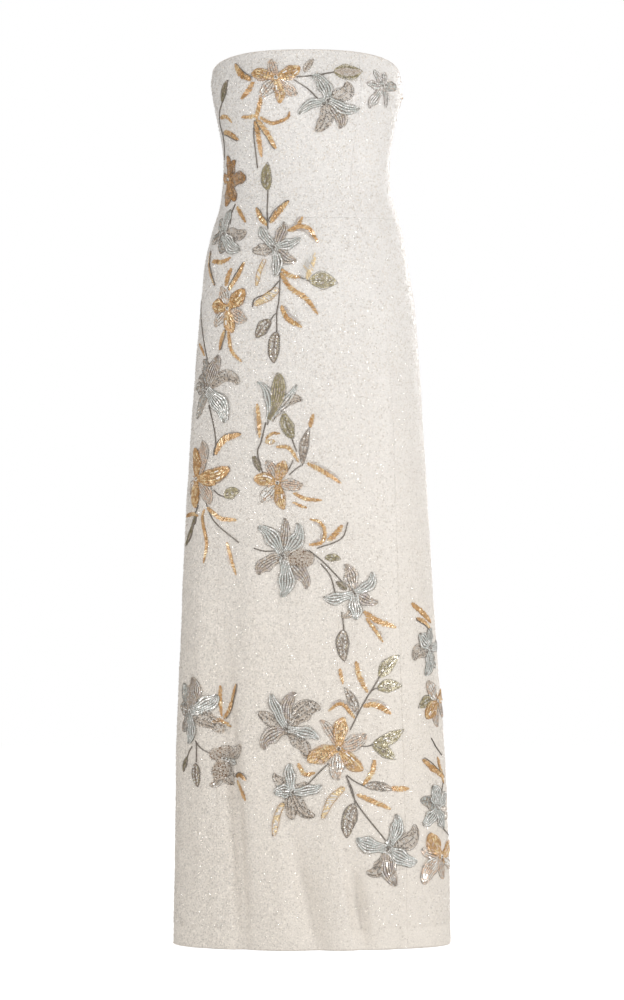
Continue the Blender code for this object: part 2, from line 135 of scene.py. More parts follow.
# A petal's chord points turn degrees up from the right; bend is how far its line turns, counterclockwise, on
# the way to the tip. Kinds: s pale stripes, p the palest stripes, S taupe stripes, b blush stripes, c clear
# stripes, o olive stripes, t taupe seed beads, T the same but blunt and broad, k blue-grey seed beads, d dark
# seed beads, darker in part as painted shade for the lilies on the shaded left side, r bronze seed beads, g
# gold beads, a amber beads.
Petal = namedtuple("Petal", "kind turn length width bend")
Lily = namedtuple("Lily", "name x z petals")
LILIES = [
    ("gold_neck", -44, 15, [
        ("b", 100, 28, 15, 10), ("c", 233, 37, 16, -10), ("b", -38, 37, 18, 20), ("g", -84, 37, 14, -15),
        ("g", 172, 34, 18, 20), ("g", 27, 38, 19, 15),
    ]),
    ("blue_neck", 30, -17, [
        ("t", 48, 42, 20, 75), ("S", -68, 47, 20, -25), ("t", -113, 50, 20, -30), ("s", 207, 47, 14, 25),
        ("s", 123, 43, 19, 55), ("s", -13, 47, 17, 30),
    ]),
    ("small_blue", 108, 3, [
        ("p", 113, 25, 9, 10), ("k", 10, 24, 13, 20), ("p", -117, 38, 11, 10), ("p", 172, 22, 11, -15),
        ("p", 80, 20, 8, -10), ("p", -81, 30, 8, 10),
    ]),
    ("rust_waist", -113, -134, [
        ("r", 172, 22, 14, 10), ("r", 100, 36, 12, 10), ("r", 66, 30, 12, -20), ("r", -98, 40, 14, -10),
        ("r", -72, 35, 14, 10), ("r", 6, 27, 21, 10),
    ]),
    ("grey_hip", -121, -213, [
        ("d", 214, 26, 14, 10), ("k", 123, 24, 15, 20), ("d", -98, 29, 13, 10), ("t", 7, 32, 17, 15),
        ("s", 77, 36, 13, -10), ("s", -45, 36, 17, 40),
    ]),
    ("blue_hip", -47, -233, [
        ("t", 182, 34, 17, 10), ("S", 73, 40, 16, 10), ("S", -30, 38, 16, 20), ("s", 124, 38, 16, -20),
        ("s", 22, 39, 15, 10), ("s", -92, 43, 16, -30),
    ]),
    ("gold_hip", -115, -322, [
        ("c", 107, 34, 14, 10), ("c", 234, 33, 14, 10), ("b", -33, 31, 17, 20), ("a", 165, 26, 20, 10),
        ("g", -78, 36, 16, 15), ("a", 54, 36, 18, 20),
    ]),
    ("blue_thigh", -145, -440, [
        ("d", 143, 25, 18, 10), ("d", 178, 26, 18, 10), ("k", 247, 46, 12, -10), ("d", 102, 45, 16, 15),
        ("S", 73, 52, 18, -10), ("t", 8, 54, 17, -100), ("s", -64, 57, 20, -36),
    ]),
    ("bud", -56, -486, [
        ("s", 53, 66, 13, -12), ("t", 31, 63, 18, -65), ("s", 107, 64, 12, 60), ("o", 80, 72, 22, 40),
    ]),
    ("blush_thigh", -43, -576, [
        ("b", 118, 36, 16, 10), ("b", -3, 37, 18, 20), ("c", 231, 37, 19, -10), ("g", 73, 33, 18, -10),
        ("g", -76, 40, 16, 10), ("g", 173, 35, 20, 20),
    ]),
    ("gold_thigh", -160, -571, [
        ("c", 240, 27, 14, 10), ("b", -60, 43, 17, -20), ("b", 82, 57, 19, 10), ("a", -15, 30, 14, -10),
        ("a", -90, 42, 17, 10), ("a", 99, 46, 16, 10), ("a", 21, 50, 20, 30),
    ]),
    ("blue_knee", -35, -683, [
        ("S", -56, 61, 20, -20), ("S", 88, 55, 16, -10), ("S", 219, 47, 21, 20), ("s", 132, 57, 21, 25),
        ("s", 67, 56, 20, 45), ("s", -94, 62, 22, -35), ("T", -8, 45, 27, 10),
    ]),
    ("grey_knee", 69, -738, [
        ("S", 108, 45, 19, 15), ("S", 238, 46, 11, -90), ("S", -19, 38, 15, 20), ("s", 186, 46, 17, -20),
        ("s", 50, 45, 16, 60), ("s", -88, 38, 19, 10),
    ]),
    ("blue_shin", -29, -936, [
        ("t", 148, 48, 20, 10), ("t", -60, 52, 19, -20), ("t", 30, 62, 26, -50), ("S", 75, 58, 19, -40),
        ("S", 223, 50, 21, 50), ("s", 113, 56, 17, -10), ("s", -18, 48, 17, -15),
    ]),
    ("gold_shin", 46, -964, [
        ("b", 123, 49, 13, 10), ("b", 28, 46, 22, 20), ("c", -90, 47, 22, 10), ("g", -41, 48, 21, 20),
        ("g", 204, 49, 25, 15), ("g", 78, 46, 21, -15),
    ]),
    ("grey_shin", -21, -1028, [
        ("t", 134, 39, 15, -20), ("t", 38, 25, 15, 10), ("t", -90, 40, 19, 10), ("t", -46, 50, 17, 40),
        ("s", 186, 27, 21, 30), ("s", 94, 42, 16, -10), ("s", 14, 44, 16, 25),
    ]),
    ("blue_hem", 117, -1111, [
        ("t", 41, 60, 22, 60), ("t", 229, 50, 20, -70), ("S", -74, 57, 24, 15), ("s", -24, 49, 23, 20),
        ("s", 157, 44, 21, -15), ("s", 75, 54, 19, 25),
    ]),
    ("grey_side", -168, -910, [
        ("d", 170, 24, 18, 10), ("d", 239, 33, 15, 10), ("k", 108, 43, 18, 10), ("S", 88, 50, 22, -10),
        ("t", -39, 51, 19, -10), ("s", -96, 48, 15, -10), ("s", 38, 44, 19, 40),
    ]),
    ("taupe_side", -123, -979, [
        ("T", 150, 22, 18, 10), ("T", 95, 18, 24, 10), ("t", 241, 48, 16, -30), ("t", -72, 40, 17, 15),
        ("t", 39, 36, 15, 30), ("T", -98, 32, 24, 10), ("s", -17, 20, 9, 10),
    ]),
    ("blue_side", 179, -818, [
        ("k", -60, 32, 13, 10), ("s", 15, 30, 15, 20), ("t", 215, 34, 17, 60), ("s", 82, 30, 13, -10),
        ("s", 253, 41, 15, -10), ("s", 128, 29, 16, -20),
    ]),
    ("blush_side", 189, -895, [
        ("b", -90, 38, 14, 10), ("b", -35, 36, 15, 20), ("g", 25, 34, 17, 20), ("g", 230, 33, 18, 15),
        ("c", 117, 35, 18, -15),
    ]),
    ("grey_right", 189, -1051, [
        ("t", -15, 32, 16, 20), ("s", 35, 32, 14, 10), ("k", 153, 27, 16, 20), ("s", -70, 34, 15, 10),
        ("s", 227, 31, 16, -20), ("s", 104, 33, 19, 20),
    ]),
    ("gold_right", 195, -1122, [
        ("b", -80, 33, 14, 10), ("c", -20, 36, 15, 20), ("g", 35, 37, 17, 20), ("b", 156, 31, 18, 10),
        ("c", 239, 48, 19, 50), ("g", 115, 40, 21, -20),
    ]),
]

# Straight from base to tip: kind, x and z of the base, x and z of the tip, and the whole width
LEAVES = [
    ("pale", 38, 25, 77, 25, 23), ("taupe", -4, 23, 10, 42, 10), ("dark", -121, -22, -112, 12, 13),
    ("olive", -57, -150, -57, -108, 17), ("olive", 3, -282, 45, -285, 25),
    ("crystal", -53, -339, -74, -365, 18), ("crystal", -44, -356, -48, -402, 18),
    ("dark", -79, -537, -69, -561, 10), ("olive", -20, -512, -34, -472, 19), ("grey", -6, -550, 4, -495, 13),
    ("olive", -121, -597, -98, -588, 17), ("olive", 26, -686, 50, -688, 11),
    ("crystal", 54, -791, 55, -837, 19), ("olive", 105, -861, 136, -828, 20),
    ("olive", 102, -877, 140, -873, 19), ("grey", 73, -914, 54, -875, 14), ("olive", 95, -958, 143, -936, 19),
    ("olive", 95, -959, 130, -981, 19), ("grey", 83, -1019, 127, -1025, 14),
    ("crystal", 69, -1045, 58, -1095, 22), ("dark", -174, -977, -180, -999, 10),
    ("crystal", -160, -986, -157, -1020, 18), ("olive", 182, -891, 162, -905, 16),
    ("dark", -165, -635, -177, -669, 11), ("dark", -161, -625, -168, -639, 9),
    ("dark", 58, -733, 42, -721, 10),
]

# Curved ribbons of gold beads: kind, width, then x and z of each point of the middle line. Kinds: gold plain,
# edged with a dark line, feather with a grey fringe, sequin paler with gold edges, fan with clear pieces
STRAPS = [
    ("edged", 8, [-77, 13, -91, 19, -102, 35]), ("gold", 7, [-74, 9, -82, -6, -91, -16]),
    ("gold", 5, [-124, -44, -115, -42, -107, -50]), ("edged", 7, [-120, -64, -110, -67, -99, -76]),
    ("gold", 5, [-69, -39, -80, -42, -92, -42]), ("edged", 7, [-70, -45, -57, -66, -45, -89]),
    ("gold", 7, [-72, -48, -69, -76, -66, -101]), ("gold", 5, [-66, -42, -50, -51, -29, -44, -25, -34]),
    ("gold", 6, [-63, -13, -66, -26, -72, -47]), ("edged", 8, [-54, -196, -41, -180, -26, -165]),
    ("edged", 7, [-58, -200, -67, -190, -74, -175]), ("gold", 5, [-102, -174, -96, -184, -89, -196]),
    ("feather", 6, [-28, -209, -15, -203, -7, -188]), ("feather", 6, [-23, -204, 1, -204, 16, -226]),
    ("sequin", 5, [-61, -250, -69, -267, -74, -289]), ("gold", 6, [-137, -253, -124, -254, -111, -248]),
    ("edged", 5, [-140, -238, -142, -260, -134, -289]), ("gold", 7, [-117, -289, -115, -276, -110, -263]),
    ("edged", 6, [-114, -295, -102, -276, -91, -254]), ("gold", 6, [-38, -264, -25, -274, -10, -277]),
    ("gold", 7, [-38, -270, -25, -291, -1, -308, 16, -331]), ("fan", 7, [-1, -279, 6, -263, 12, -247]),
    ("sequin", 9, [-42, -293, -57, -305, -77, -317]), ("feather", 7, [-38, -318, -28, -337, -7, -349]),
    ("edged", 6, [-120, -353, -124, -368, -127, -383]), ("gold", 5, [-115, -353, -110, -383, -95, -400]),
    ("gold", 4, [-156, -374, -152, -383, -149, -391]), ("edged", 9, [-134, -534, -121, -514, -96, -505]),
    ("feather", 6, [-73, -461, -70, -485, -69, -511]), ("gold", 4, [-60, -512, -50, -504, -39, -505]),
    ("sequin", 5, [-60, -515, -54, -517, -47, -515]), ("gold", 5, [-45, -524, -26, -526, -12, -546]),
    ("gold", 6, [4, -495, 7, -485, 10, -476]), ("feather", 6, [0, -548, 22, -559, 50, -577]),
    ("gold", 5, [-20, -591, -1, -600, 22, -602]), ("gold", 4, [-20, -604, -12, -609, 0, -613]),
    ("gold", 6, [-145, -612, -126, -628, -102, -631]),
    ("gold", 5, [-149, -615, -152, -629, -146, -664, -150, -694]),
    ("feather", 5, [-117, -663, -111, -688, -104, -711]), ("gold", 5, [-175, -625, -166, -622, -158, -625]),
    ("feather", 5, [3, -667, 22, -663, 26, -647, 19, -634, 4, -629]),
    ("gold", 8, [32, -661, 42, -651, 51, -638]), ("gold", 8, [83, -764, 101, -777, 130, -788]),
    ("feather", 5, [86, -774, 99, -791, 111, -809]), ("gold", 7, [72, -837, 76, -858, 88, -883]),
    ("gold", 5, [47, -848, 50, -858, 53, -870]), ("feather", 8, [82, -902, 101, -901, 123, -914]),
    ("feather", 5, [70, -920, 50, -899, 31, -910]), ("gold", 6, [-13, -986, -3, -1002, 12, -1000]),
    ("gold", 7, [98, -981, 95, -999, 82, -1018]), ("gold", 7, [124, -1023, 137, -1023, 150, -1022]),
    ("gold", 7, [73, -1031, 95, -1041, 123, -1053]), ("sequin", 8, [54, -1021, 36, -1038, 22, -1067]),
    ("sequin", 7, [-35, -1044, -44, -1064, -48, -1092]), ("gold", 5, [-128, -872, -128, -895, -126, -918]),
    ("edged", 6, [-124, -921, -112, -894, -104, -870]), ("gold", 5, [-139, -927, -128, -923, -115, -933]),
    ("edged", 6, [-107, -1006, -98, -1003, -88, -1010]), ("gold", 6, [-105, -1012, -98, -1022, -89, -1040]),
    ("edged", 8, [169, -980, 184, -994, 199, -1007]), ("gold", 6, [190, -977, 194, -993, 199, -1015]),
    ("gold", 8, [152, -753, 166, -764, 180, -780]), ("edged", 6, [159, -774, 171, -780, 181, -794]),
]

# Dark lines: x and z of each point
STEMS = [
    [-15, 16, 15, 19, 38, 23], [-19, 12, 1, -1, 18, -18], [-121, -22, -126, -47, -121, -74, -120, -105],
    [-74, -47, -76, -74, -72, -117], [-57, -150, -58, -178, -57, -206], [-104, -169, -110, -184, -112, -199],
    [-10, -277, -3, -279, 3, -282], [-41, -282, -57, -299, -76, -308, -80, -320],
    [-39, -269, -41, -310, -44, -328, -44, -356], [-44, -328, -50, -334, -53, -339],
    [-155, -310, -153, -346, -145, -397], [-143, -463, -136, -492, -133, -517, -136, -537],
    [-136, -587, -128, -594, -120, -597], [-150, -594, -136, -631, -99, -664],
    [-60, -488, -67, -517, -72, -533, -64, -564], [-22, -512, -18, -523, -15, -531],
    [-20, -543, -23, -550, -28, -559], [-6, -550, -16, -556, -26, -565], [-77, -672, -63, -676, -47, -676],
    [15, -672, 50, -658, 60, -634], [3, -675, 26, -694, 51, -720], [20, -694, 34, -712, 42, -739],
    [51, -765, 53, -780, 54, -793], [108, -857, 82, -899, 63, -937], [105, -861, 98, -873, 91, -885],
    [95, -880, 99, -877, 104, -877], [74, -912, 77, -908, 79, -904], [79, -961, 88, -961, 95, -959],
    [31, -986, 15, -1002, -3, -1021], [58, -1003, 69, -1012, 83, -1019], [57, -1004, 73, -1045, 115, -1099],
    [60, -1010, 67, -1028, 70, -1045], [-34, -1042, -44, -1064, -50, -1092],
    [-161, -953, -152, -964, -140, -972], [-159, -955, -159, -969, -159, -984],
    [-166, -961, -171, -969, -174, -977], [181, -949, 188, -962, 196, -974],
    [199, -1010, 197, -1021, 196, -1029], [193, -1069, 199, -1082, 207, -1092],
    [-158, -609, -162, -620, -166, -637], [-57, -485, -57, -489, -58, -492],
]

# Sprays as seen from the front, and where some are repeated on the hidden back: round_share is how far
# round, in half turns, and rise how much higher.
Window = namedtuple("Window", "name x_low x_high z_low z_high round_share rise")
WINDOWS = [
    Window("front", -999, 999, -9999, 999, 0.0, 0),
    Window("back_skirt", -62, 150, -1130, -640, 1.0, 24),
    Window("back_thigh", -80, 60, -640, -450, 0.80, 70),
    Window("back_hip", -80, 50, -420, -140, -0.80, -30),
    Window("back_bodice", -92, 40, -110, 60, 0.78, -42),
]


# ---------------------------------------------------------------- reading the form


def table_at(rows, z):
    """Every column of a table that goes down in z, on smooth curves through its rows, for an array of z."""
    table = np.array(rows, dtype=float)
    heights, columns = table[::-1, 0], table[::-1, 1:]
    slopes = np.gradient(columns, heights, axis=0)
    z = np.clip(z, heights[0], heights[-1])
    k = np.clip(np.searchsorted(heights, z) - 1, 0, len(heights) - 2)
    span = heights[k + 1] - heights[k]
    t = ((z - heights[k]) / span)[..., None]
    span = span[..., None]
    found = (1 + 2 * t) * (1 - t) ** 2 * columns[k] + t * t * (3 - 2 * t) * columns[k + 1]
    found += t * (1 - t) ** 2 * span * slopes[k] + t * t * (t - 1) * span * slopes[k + 1]
    return np.moveaxis(found, -1, 0)


def section_at(z):
    return Section(z, *table_at(SECTIONS, z))


def share_at(x, section, face="front"):
    """Share of a half turn from the middle of the front, for a distance from the middle line."""
    across = np.minimum(np.abs(x) / section.half_breadth, 0.9999)
    along = (1.0 - across**section.square) ** (1.0 / section.square)
    share = np.arctan2(across, along) / math.pi
    if face == "back":
        share = 1.0 - share
    return np.copysign(share, x)


def arc_length(share_a, share_b, section):
    turn = np.abs(share_a - share_b) % 2.0
    turn = np.minimum(turn, 2.0 - turn)
    mean_radius = (section.half_breadth + (section.front + section.back) / 2) / 2
    return turn * math.pi * mean_radius


def fold_depth(share, section, folds):
    total = np.zeros(np.broadcast(share, section.z).shape)
    for face, fold in [(face, Fold(*row)) for face, rows in folds.items() for row in rows]:
        down = (fold.z_high - section.z) / (fold.z_high - fold.z_low)
        inside = (down > 0.0) & (down < 1.0)
        if not inside.any():
            continue
        down = np.clip(down, 0.0, 1.0)
        x = fold.x_high + (fold.x_low - fold.x_high) * down
        aside = arc_length(share, share_at(x, section, face), section)
        strength = np.sin(math.pi * down) ** 0.8
        total += np.where(inside, fold.depth * strength * np.exp(-((aside / fold.half_width) ** 2)), 0)
    return total


def unevenness(share, z):
    """Slight waves of a few tenths of a millimetre, as handled cloth has."""
    turn = math.pi * share
    waves = 0.35 * np.sin(5 * turn + z / 47) * np.sin(z / 31 + 3 * np.sin(2 * turn))
    return waves + 0.22 * np.sin(17 * turn + z / 23) * np.sin(z / 19 + 5 * turn)


def cloth(share, z, inward=0.0):
    """Points of the dress, inward millimetres inside its outer face, as an array of (x, y, z)."""
    share, z = np.broadcast_arrays(np.asarray(share, float), np.asarray(z, float))
    section = section_at(z)
    turn = math.pi * share
    across, ahead = np.sin(turn), np.cos(turn)
    power = section.square
    reach = (np.abs(across) ** power + np.abs(ahead) ** power) ** (-1.0 / power)
    across, ahead = across * reach, ahead * reach
    depth = np.where(ahead > 0, section.front, section.back)
    x, y = section.half_breadth * across, -depth * ahead
    out_x = np.copysign(np.abs(across) ** (power - 1), across) / section.half_breadth
    out_y = -np.copysign(np.abs(ahead) ** (power - 1), ahead) / depth
    cup = np.exp(-(((np.abs(x) - CUP.x) / CUP.half_width) ** 2) - ((z - CUP.z) / CUP.half_height) ** 2)
    out = np.where(y > 0, 0.0, CUP.rise * cup)
    out = out + fold_depth(share, section, FOLDS) + fold_depth(share, section, CREASES)
    move = (out + unevenness(share, z) - inward) / np.hypot(out_x, out_y)
    return np.stack([x + section.lean + out_x * move, y + out_y * move, z], axis=-1)


def neckline(share):
    ahead = np.cos(math.pi * share)
    arch = 1.0 - (1.0 - np.clip(ahead, 0, 1)) ** NECK_ROUNDING
    front = NECK_SIDE + (NECK_FRONT - NECK_SIDE) * arch
    back = NECK_SIDE - (NECK_SIDE - NECK_BACK) * ahead**2
    return np.where(ahead > 0, front, back)


# Lengths of cloth from the middle of the front to each share, for a ladder of heights
LADDER_Z = np.linspace(HEM - 40, 60, 200)
LADDER_SHARE = np.linspace(0.0, 1.0, 241)


def make_ladder():
    section = section_at(LADDER_Z[:, None] + 0 * LADDER_SHARE)
    turn = math.pi * LADDER_SHARE
    power = section.square
    reach = (np.abs(np.sin(turn)) ** power + np.abs(np.cos(turn)) ** power) ** (-1.0 / power)
    depth = np.where(np.cos(turn) > 0, section.front, section.back)
    x, y = section.half_breadth * np.sin(turn) * reach, -depth * np.cos(turn) * reach
    steps = np.hypot(np.diff(x, axis=1), np.diff(y, axis=1))
    return np.concatenate([np.zeros((len(LADDER_Z), 1)), np.cumsum(steps, axis=1)], axis=1)


LADDER_ARC = make_ladder()
HALF_ROUND = LADDER_ARC[:, -1]
EVEN = np.linspace(0.0, 1.0, 241)
SHARE_OF_EVEN = np.array([np.interp(EVEN * arc[-1], arc, LADDER_SHARE) for arc in LADDER_ARC])


def bilinear(grid, row, column):
    r = np.clip(row, 0, grid.shape[0] - 1.001)
    c = np.clip(column, 0, grid.shape[1] - 1.001)
    r0, c0 = r.astype(int), c.astype(int)
    fr, fc = r - r0, c - c0
    low = grid[r0, c0] * (1 - fc) + grid[r0, c0 + 1] * fc
    high = grid[r0 + 1, c0] * (1 - fc) + grid[r0 + 1, c0 + 1] * fc
    return low * (1 - fr) + high * fr


def ladder_row(z):
    return (np.asarray(z, float) - LADDER_Z[0]) / (LADDER_Z[1] - LADDER_Z[0])


def share_along(arc, z):
    """The share of a half turn that lies the given length of cloth from the middle of the front."""
    arc, z = np.broadcast_arrays(np.asarray(arc, float), np.asarray(z, float))
    half = np.interp(z, LADDER_Z, HALF_ROUND)
    part = np.abs(arc) / half
    over = part > 1.0
    part = np.where(over, 2.0 - part, part)
    share = bilinear(SHARE_OF_EVEN, ladder_row(z), part * (len(EVEN) - 1))
    share = np.where(over, 2.0 - share, share)
    return np.copysign(share, arc)


def arc_along(share, z):
    share, z = np.broadcast_arrays(np.asarray(share, float), np.asarray(z, float))
    found = bilinear(LADDER_ARC, ladder_row(z), np.abs(share) * (len(LADDER_SHARE) - 1))
    return np.copysign(found, share)


def on_cloth(places):
    """Turns places seen from the front into (length along the cloth, height), on the front of the dress."""
    places = np.asarray(places, float)
    y = np.full(len(places), -90.0)
    for _ in range(8):
        nearer = (CAMERA_AWAY + y) / CAMERA_AWAY
        x = CAMERA_X + (places[:, 0] - CAMERA_X) * nearer
        z = CAMERA_Z + (places[:, 1] - CAMERA_Z) * nearer
        section = section_at(z)
        share = share_at(x - section.lean, section)
        y = cloth(share, z)[:, 1]
    return np.stack([arc_along(share, z), z], axis=1)


def cloth_frames(arc, z):
    """Points on the cloth with unit vectors along it, up it and out of it."""
    share = share_along(arc, z)
    here = cloth(share, z)
    along = cloth(share_along(arc + 1.0, z), z) - here
    up = cloth(share_along(arc, z + 1.0), z + 1.0) - here
    out = np.cross(along, up)
    out /= np.linalg.norm(out, axis=-1, keepdims=True)
    along /= np.linalg.norm(along, axis=-1, keepdims=True)
    return here, along, np.cross(out, along), out


# ---------------------------------------------------------------- meshes and materials


def mesh_object(name, points, faces, materials, slots=None, smooth=True):
    """A mesh from arrays. faces is a list of arrays with one row of corners per face; slots goes with it."""
    mesh = bpy.data.meshes.new(name)
    corners = np.concatenate([block.ravel() for block in faces])
    sizes = np.concatenate([np.full(len(block), block.shape[1]) for block in faces])
    mesh.vertices.add(len(points))
    mesh.vertices.foreach_set("co", (np.asarray(points, np.float32) * np.float32(MM)).ravel())
    mesh.loops.add(len(corners))
    mesh.loops.foreach_set("vertex_index", corners.astype(np.int32))
    mesh.polygons.add(len(sizes))
    starts = np.concatenate([[0], np.cumsum(sizes)[:-1]]).astype(np.int32)
    mesh.polygons.foreach_set("loop_start", starts)
    mesh.polygons.foreach_set("loop_total", sizes.astype(np.int32))
    if slots is not None:
        mesh.polygons.foreach_set("material_index", np.concatenate(slots).astype(np.int32))
    mesh.polygons.foreach_set("use_smooth", np.full(len(sizes), smooth))
    mesh.update(calc_edges=True)
    mesh.validate()
    for each in materials:
        mesh.materials.append(each)
    return in_scene(bpy.data.objects.new(name, mesh))


def in_scene(made):
    bpy.context.scene.collection.objects.link(made)
    return made


def linear(colour):
    """From 0-255 display values to Blender's linear colour."""
    part = [c / 255 for c in colour]
    return (*(c / 12.92 if c <= 0.04045 else ((c + 0.055) / 1.055) ** 2.4 for c in part), 1.0)


def grey(level):
    return (level, level, level, 1)


def set_inputs(tree, node, inputs):
    """Each input gets a value, or a link from another node's output."""
    for name, value in inputs.items():
        if isinstance(value, bpy.types.NodeSocket):
            tree.links.new(value, node.inputs[name])
        else:
            node.inputs[name].default_value = value


def add_node(tree, kind, inputs=None, **settings):
    made = tree.nodes.new("ShaderNode" + kind)
    for name, value in settings.items():
        setattr(made, name, value)
    set_inputs(tree, made, inputs or {})
    return made


def mixed(tree, factor, a, b, blend="MIX"):
    inputs = {"Factor": factor, "A": a, "B": b}
    return add_node(tree, "Mix", inputs, data_type="RGBA", blend_type=blend).outputs["Result"]


def ramp(tree, factor, first, last, *between):
    """A colour ramp; between are positions and colours on the way."""
    made = add_node(tree, "ValToRGB", {"Fac": factor})
    elements = made.color_ramp.elements
    elements[0].color, elements[1].color = first, last
    for position, colour in between:
        elements.new(position).color = colour
    return made.outputs["Color"]


def map_range(tree, value, given, found, kind="LINEAR"):
    """given and found are the two ends of the range before and after."""
    limits = {"From Min": given[0], "From Max": given[1], "To Min": found[0], "To Max": found[1]}
    return add_node(tree, "MapRange", {"Value": value, **limits}, interpolation_type=kind).outputs["Result"]


def bump(tree, height, **inputs):
    return add_node(tree, "Bump", {"Height": height, **inputs}).outputs["Normal"]


def shader_material(name):
    made = bpy.data.materials.new(name)
    made.use_nodes = True
    return made, made.node_tree, made.node_tree.nodes["Principled BSDF"]


# Beads and sequins: colour as it shows, how metallic, how rough and how strong the clear coat
BEADS = {
    "outline": ((136, 129, 121), 0.15, 0.34, 0.2),
    "stem": ((112, 102, 92), 0.15, 0.34, 0.2),
    "pale_blue": ((210, 213, 209), 0.08, 0.22, 0.5),
    "silver": ((221, 218, 213), 0.15, 0.18, 0.6),
    "blue_grey": ((164, 168, 165), 0.12, 0.28, 0.3),
    "taupe": ((196, 181, 165), 0.10, 0.26, 0.4),
    "taupe_dark": ((146, 132, 119), 0.15, 0.30, 0.3),
    "taupe_light": ((218, 208, 197), 0.10, 0.20, 0.6),
    "lilac_grey": ((198, 187, 184), 0.10, 0.22, 0.5),
    "gold": ((207, 168, 119), 0.20, 0.26, 0.5),
    "gold_deep": ((182, 142, 90), 0.20, 0.30, 0.4),
    "gold_light": ((238, 214, 170), 0.20, 0.14, 0.8),
    "blush": ((220, 194, 173), 0.10, 0.20, 0.6),
    "bronze": ((186, 138, 84), 0.20, 0.28, 0.3),
    "bronze_dark": ((132, 102, 72), 0.20, 0.32, 0.3),
    "olive": ((168, 157, 120), 0.10, 0.26, 0.4),
    "olive_light": ((198, 188, 160), 0.10, 0.22, 0.5),
    "olive_dark": ((136, 128, 102), 0.15, 0.32, 0.2),
    "crystal": ((238, 236, 231), 0.20, 0.06, 1.0),
    "pearl": ((238, 232, 226), 0.00, 0.20, 0.5),
    "ivory": ((230, 223, 214), 0.00, 0.26, 0.3),
    "smoke": ((212, 205, 197), 0.00, 0.20, 0.6),
    "ice": ((251, 250, 248), 0.10, 0.08, 1.0),
    "mirror": ((247, 245, 241), 0.85, 0.16, 0.3),
}
BEAD_SLOT = {name: index for index, name in enumerate(BEADS)}
BEAD_COAT_ROUGHNESS = 0.08


def bead_materials():
    made = []
    for name, (colour, metallic, roughness, coat) in BEADS.items():
        each, tree, shader = shader_material("bead_" + name)
        looks = {"Base Color": linear(colour), "Metallic": metallic, "Roughness": roughness}
        coating = {"Coat Weight": coat, "Coat Roughness": BEAD_COAT_ROUGHNESS}
        set_inputs(tree, shader, {**looks, **coating})
        made.append(each)
    return made


# ---------------------------------------------------------------- beads


def circle(sides, high):
    """A ring of points, one unit across, at the given height."""
    turns = np.arange(sides) * 2 * math.pi / sides
    return np.stack([0.5 * np.cos(turns), 0.5 * np.sin(turns), np.full(sides, high)], axis=1)


def fan_to(sides, hub):
    return np.array([[i, (i + 1) % sides, hub] for i in range(sides)])


def tube_bead(sides):
    """A long bead lying along x, one unit long, wide and high."""
    turns = (np.arange(sides) + 0.5) * 2 * math.pi / sides - math.pi / 2
    ring = np.stack([0 * turns, 0.5 * np.cos(turns), 0.5 + 0.5 * np.sin(turns)], axis=1)
    points = np.concatenate([ring + [-0.5, 0, 0], ring + [0.5, 0, 0]])
    wall = np.array([[i, (i + 1) % sides, sides + (i + 1) % sides, sides + i] for i in range(sides)])
    ends = np.array([list(range(sides))[::-1], list(range(sides, 2 * sides))])
    return points, [wall, ends]


def round_bead(sides):
    """A small round bead, one unit across and high."""
    points = np.concatenate([circle(sides, 0.45), [[0, 0, 1.0], [0, 0, 0]]])
    below = fan_to(sides, sides + 1)[:, [1, 0, 2]]
    return points, [np.concatenate([fan_to(sides, sides), below])]


def sequin(sides):
    """A thin cupped disc, open below, one unit across."""
    return np.concatenate([circle(sides, 0.0), [[0, 0, 1.0]]]), [fan_to(sides, sides)]


BEAD_SHAPES = {"tube": tube_bead(4), "round": round_bead(5), "sequin": sequin(4), "disc": sequin(7)}


class BeadWork:
    """Collects beads of one motif and makes them into one mesh that follows the cloth."""

    def __init__(self, name):
        self.name = name
        self.batches = []

    def add(self, shape, slot, places, turn, size, lift=0.0, tip=0.0):
        """places: (arc, z) rows. turn: direction on the cloth. size: length, width and height, each a number
        or one for each bead. lift: height above the cloth. tip: slope of a bead along its own length."""
        places = np.atleast_2d(places)
        count = len(places)
        if count == 0:
            return
        slots = np.full(count, BEAD_SLOT[slot]) if isinstance(slot, str) else np.asarray(slot)
        numbers = [np.broadcast_to(np.asarray(v, float), count) for v in (turn, *size, lift, tip)]
        self.batches.append((shape, slots, places, *numbers))

    def make(self, materials):
        points, faces, slots, used = [], [], [], 0
        for shape, slot, places, turn, length, width, height, lift, tip in self.batches:
            template, template_faces = BEAD_SHAPES[shape]
            here, along, up, out = cloth_frames(places[:, 0], places[:, 1])
            cos, sin = np.cos(turn)[:, None], np.sin(turn)[:, None]
            ahead, side = along * cos + up * sin, up * cos - along * sin
            tipped = ahead * np.cos(tip)[:, None] + out * np.sin(tip)[:, None]
            raised = out * np.cos(tip)[:, None] - ahead * np.sin(tip)[:, None]
            corner = (
                tipped[:, None] * (template[None, :, 0:1] * length[:, None, None])
                + side[:, None] * (template[None, :, 1:2] * width[:, None, None])
                + raised[:, None] * (template[None, :, 2:3] * height[:, None, None])
                + (here + out * lift[:, None])[:, None]
            )
            points.append(corner.reshape(-1, 3))
            offsets = used + np.arange(len(places)) * len(template)
            for block in template_faces:
                faces.append((block[None] + offsets[:, None, None]).reshape(-1, block.shape[1]))
                slots.append(np.repeat(slot, len(block)))
            used += len(places) * len(template)
        kept = sorted(set(np.concatenate(slots).tolist()))
        renumbered = np.zeros(len(BEADS), int)
        renumbered[kept] = np.arange(len(kept))
        chosen = [materials[i] for i in kept]
        slots = [renumbered[block] for block in slots]
        made = mesh_object(self.name, np.concatenate(points), faces, chosen, slots, smooth=False)
        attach(made, BODY)
        return made


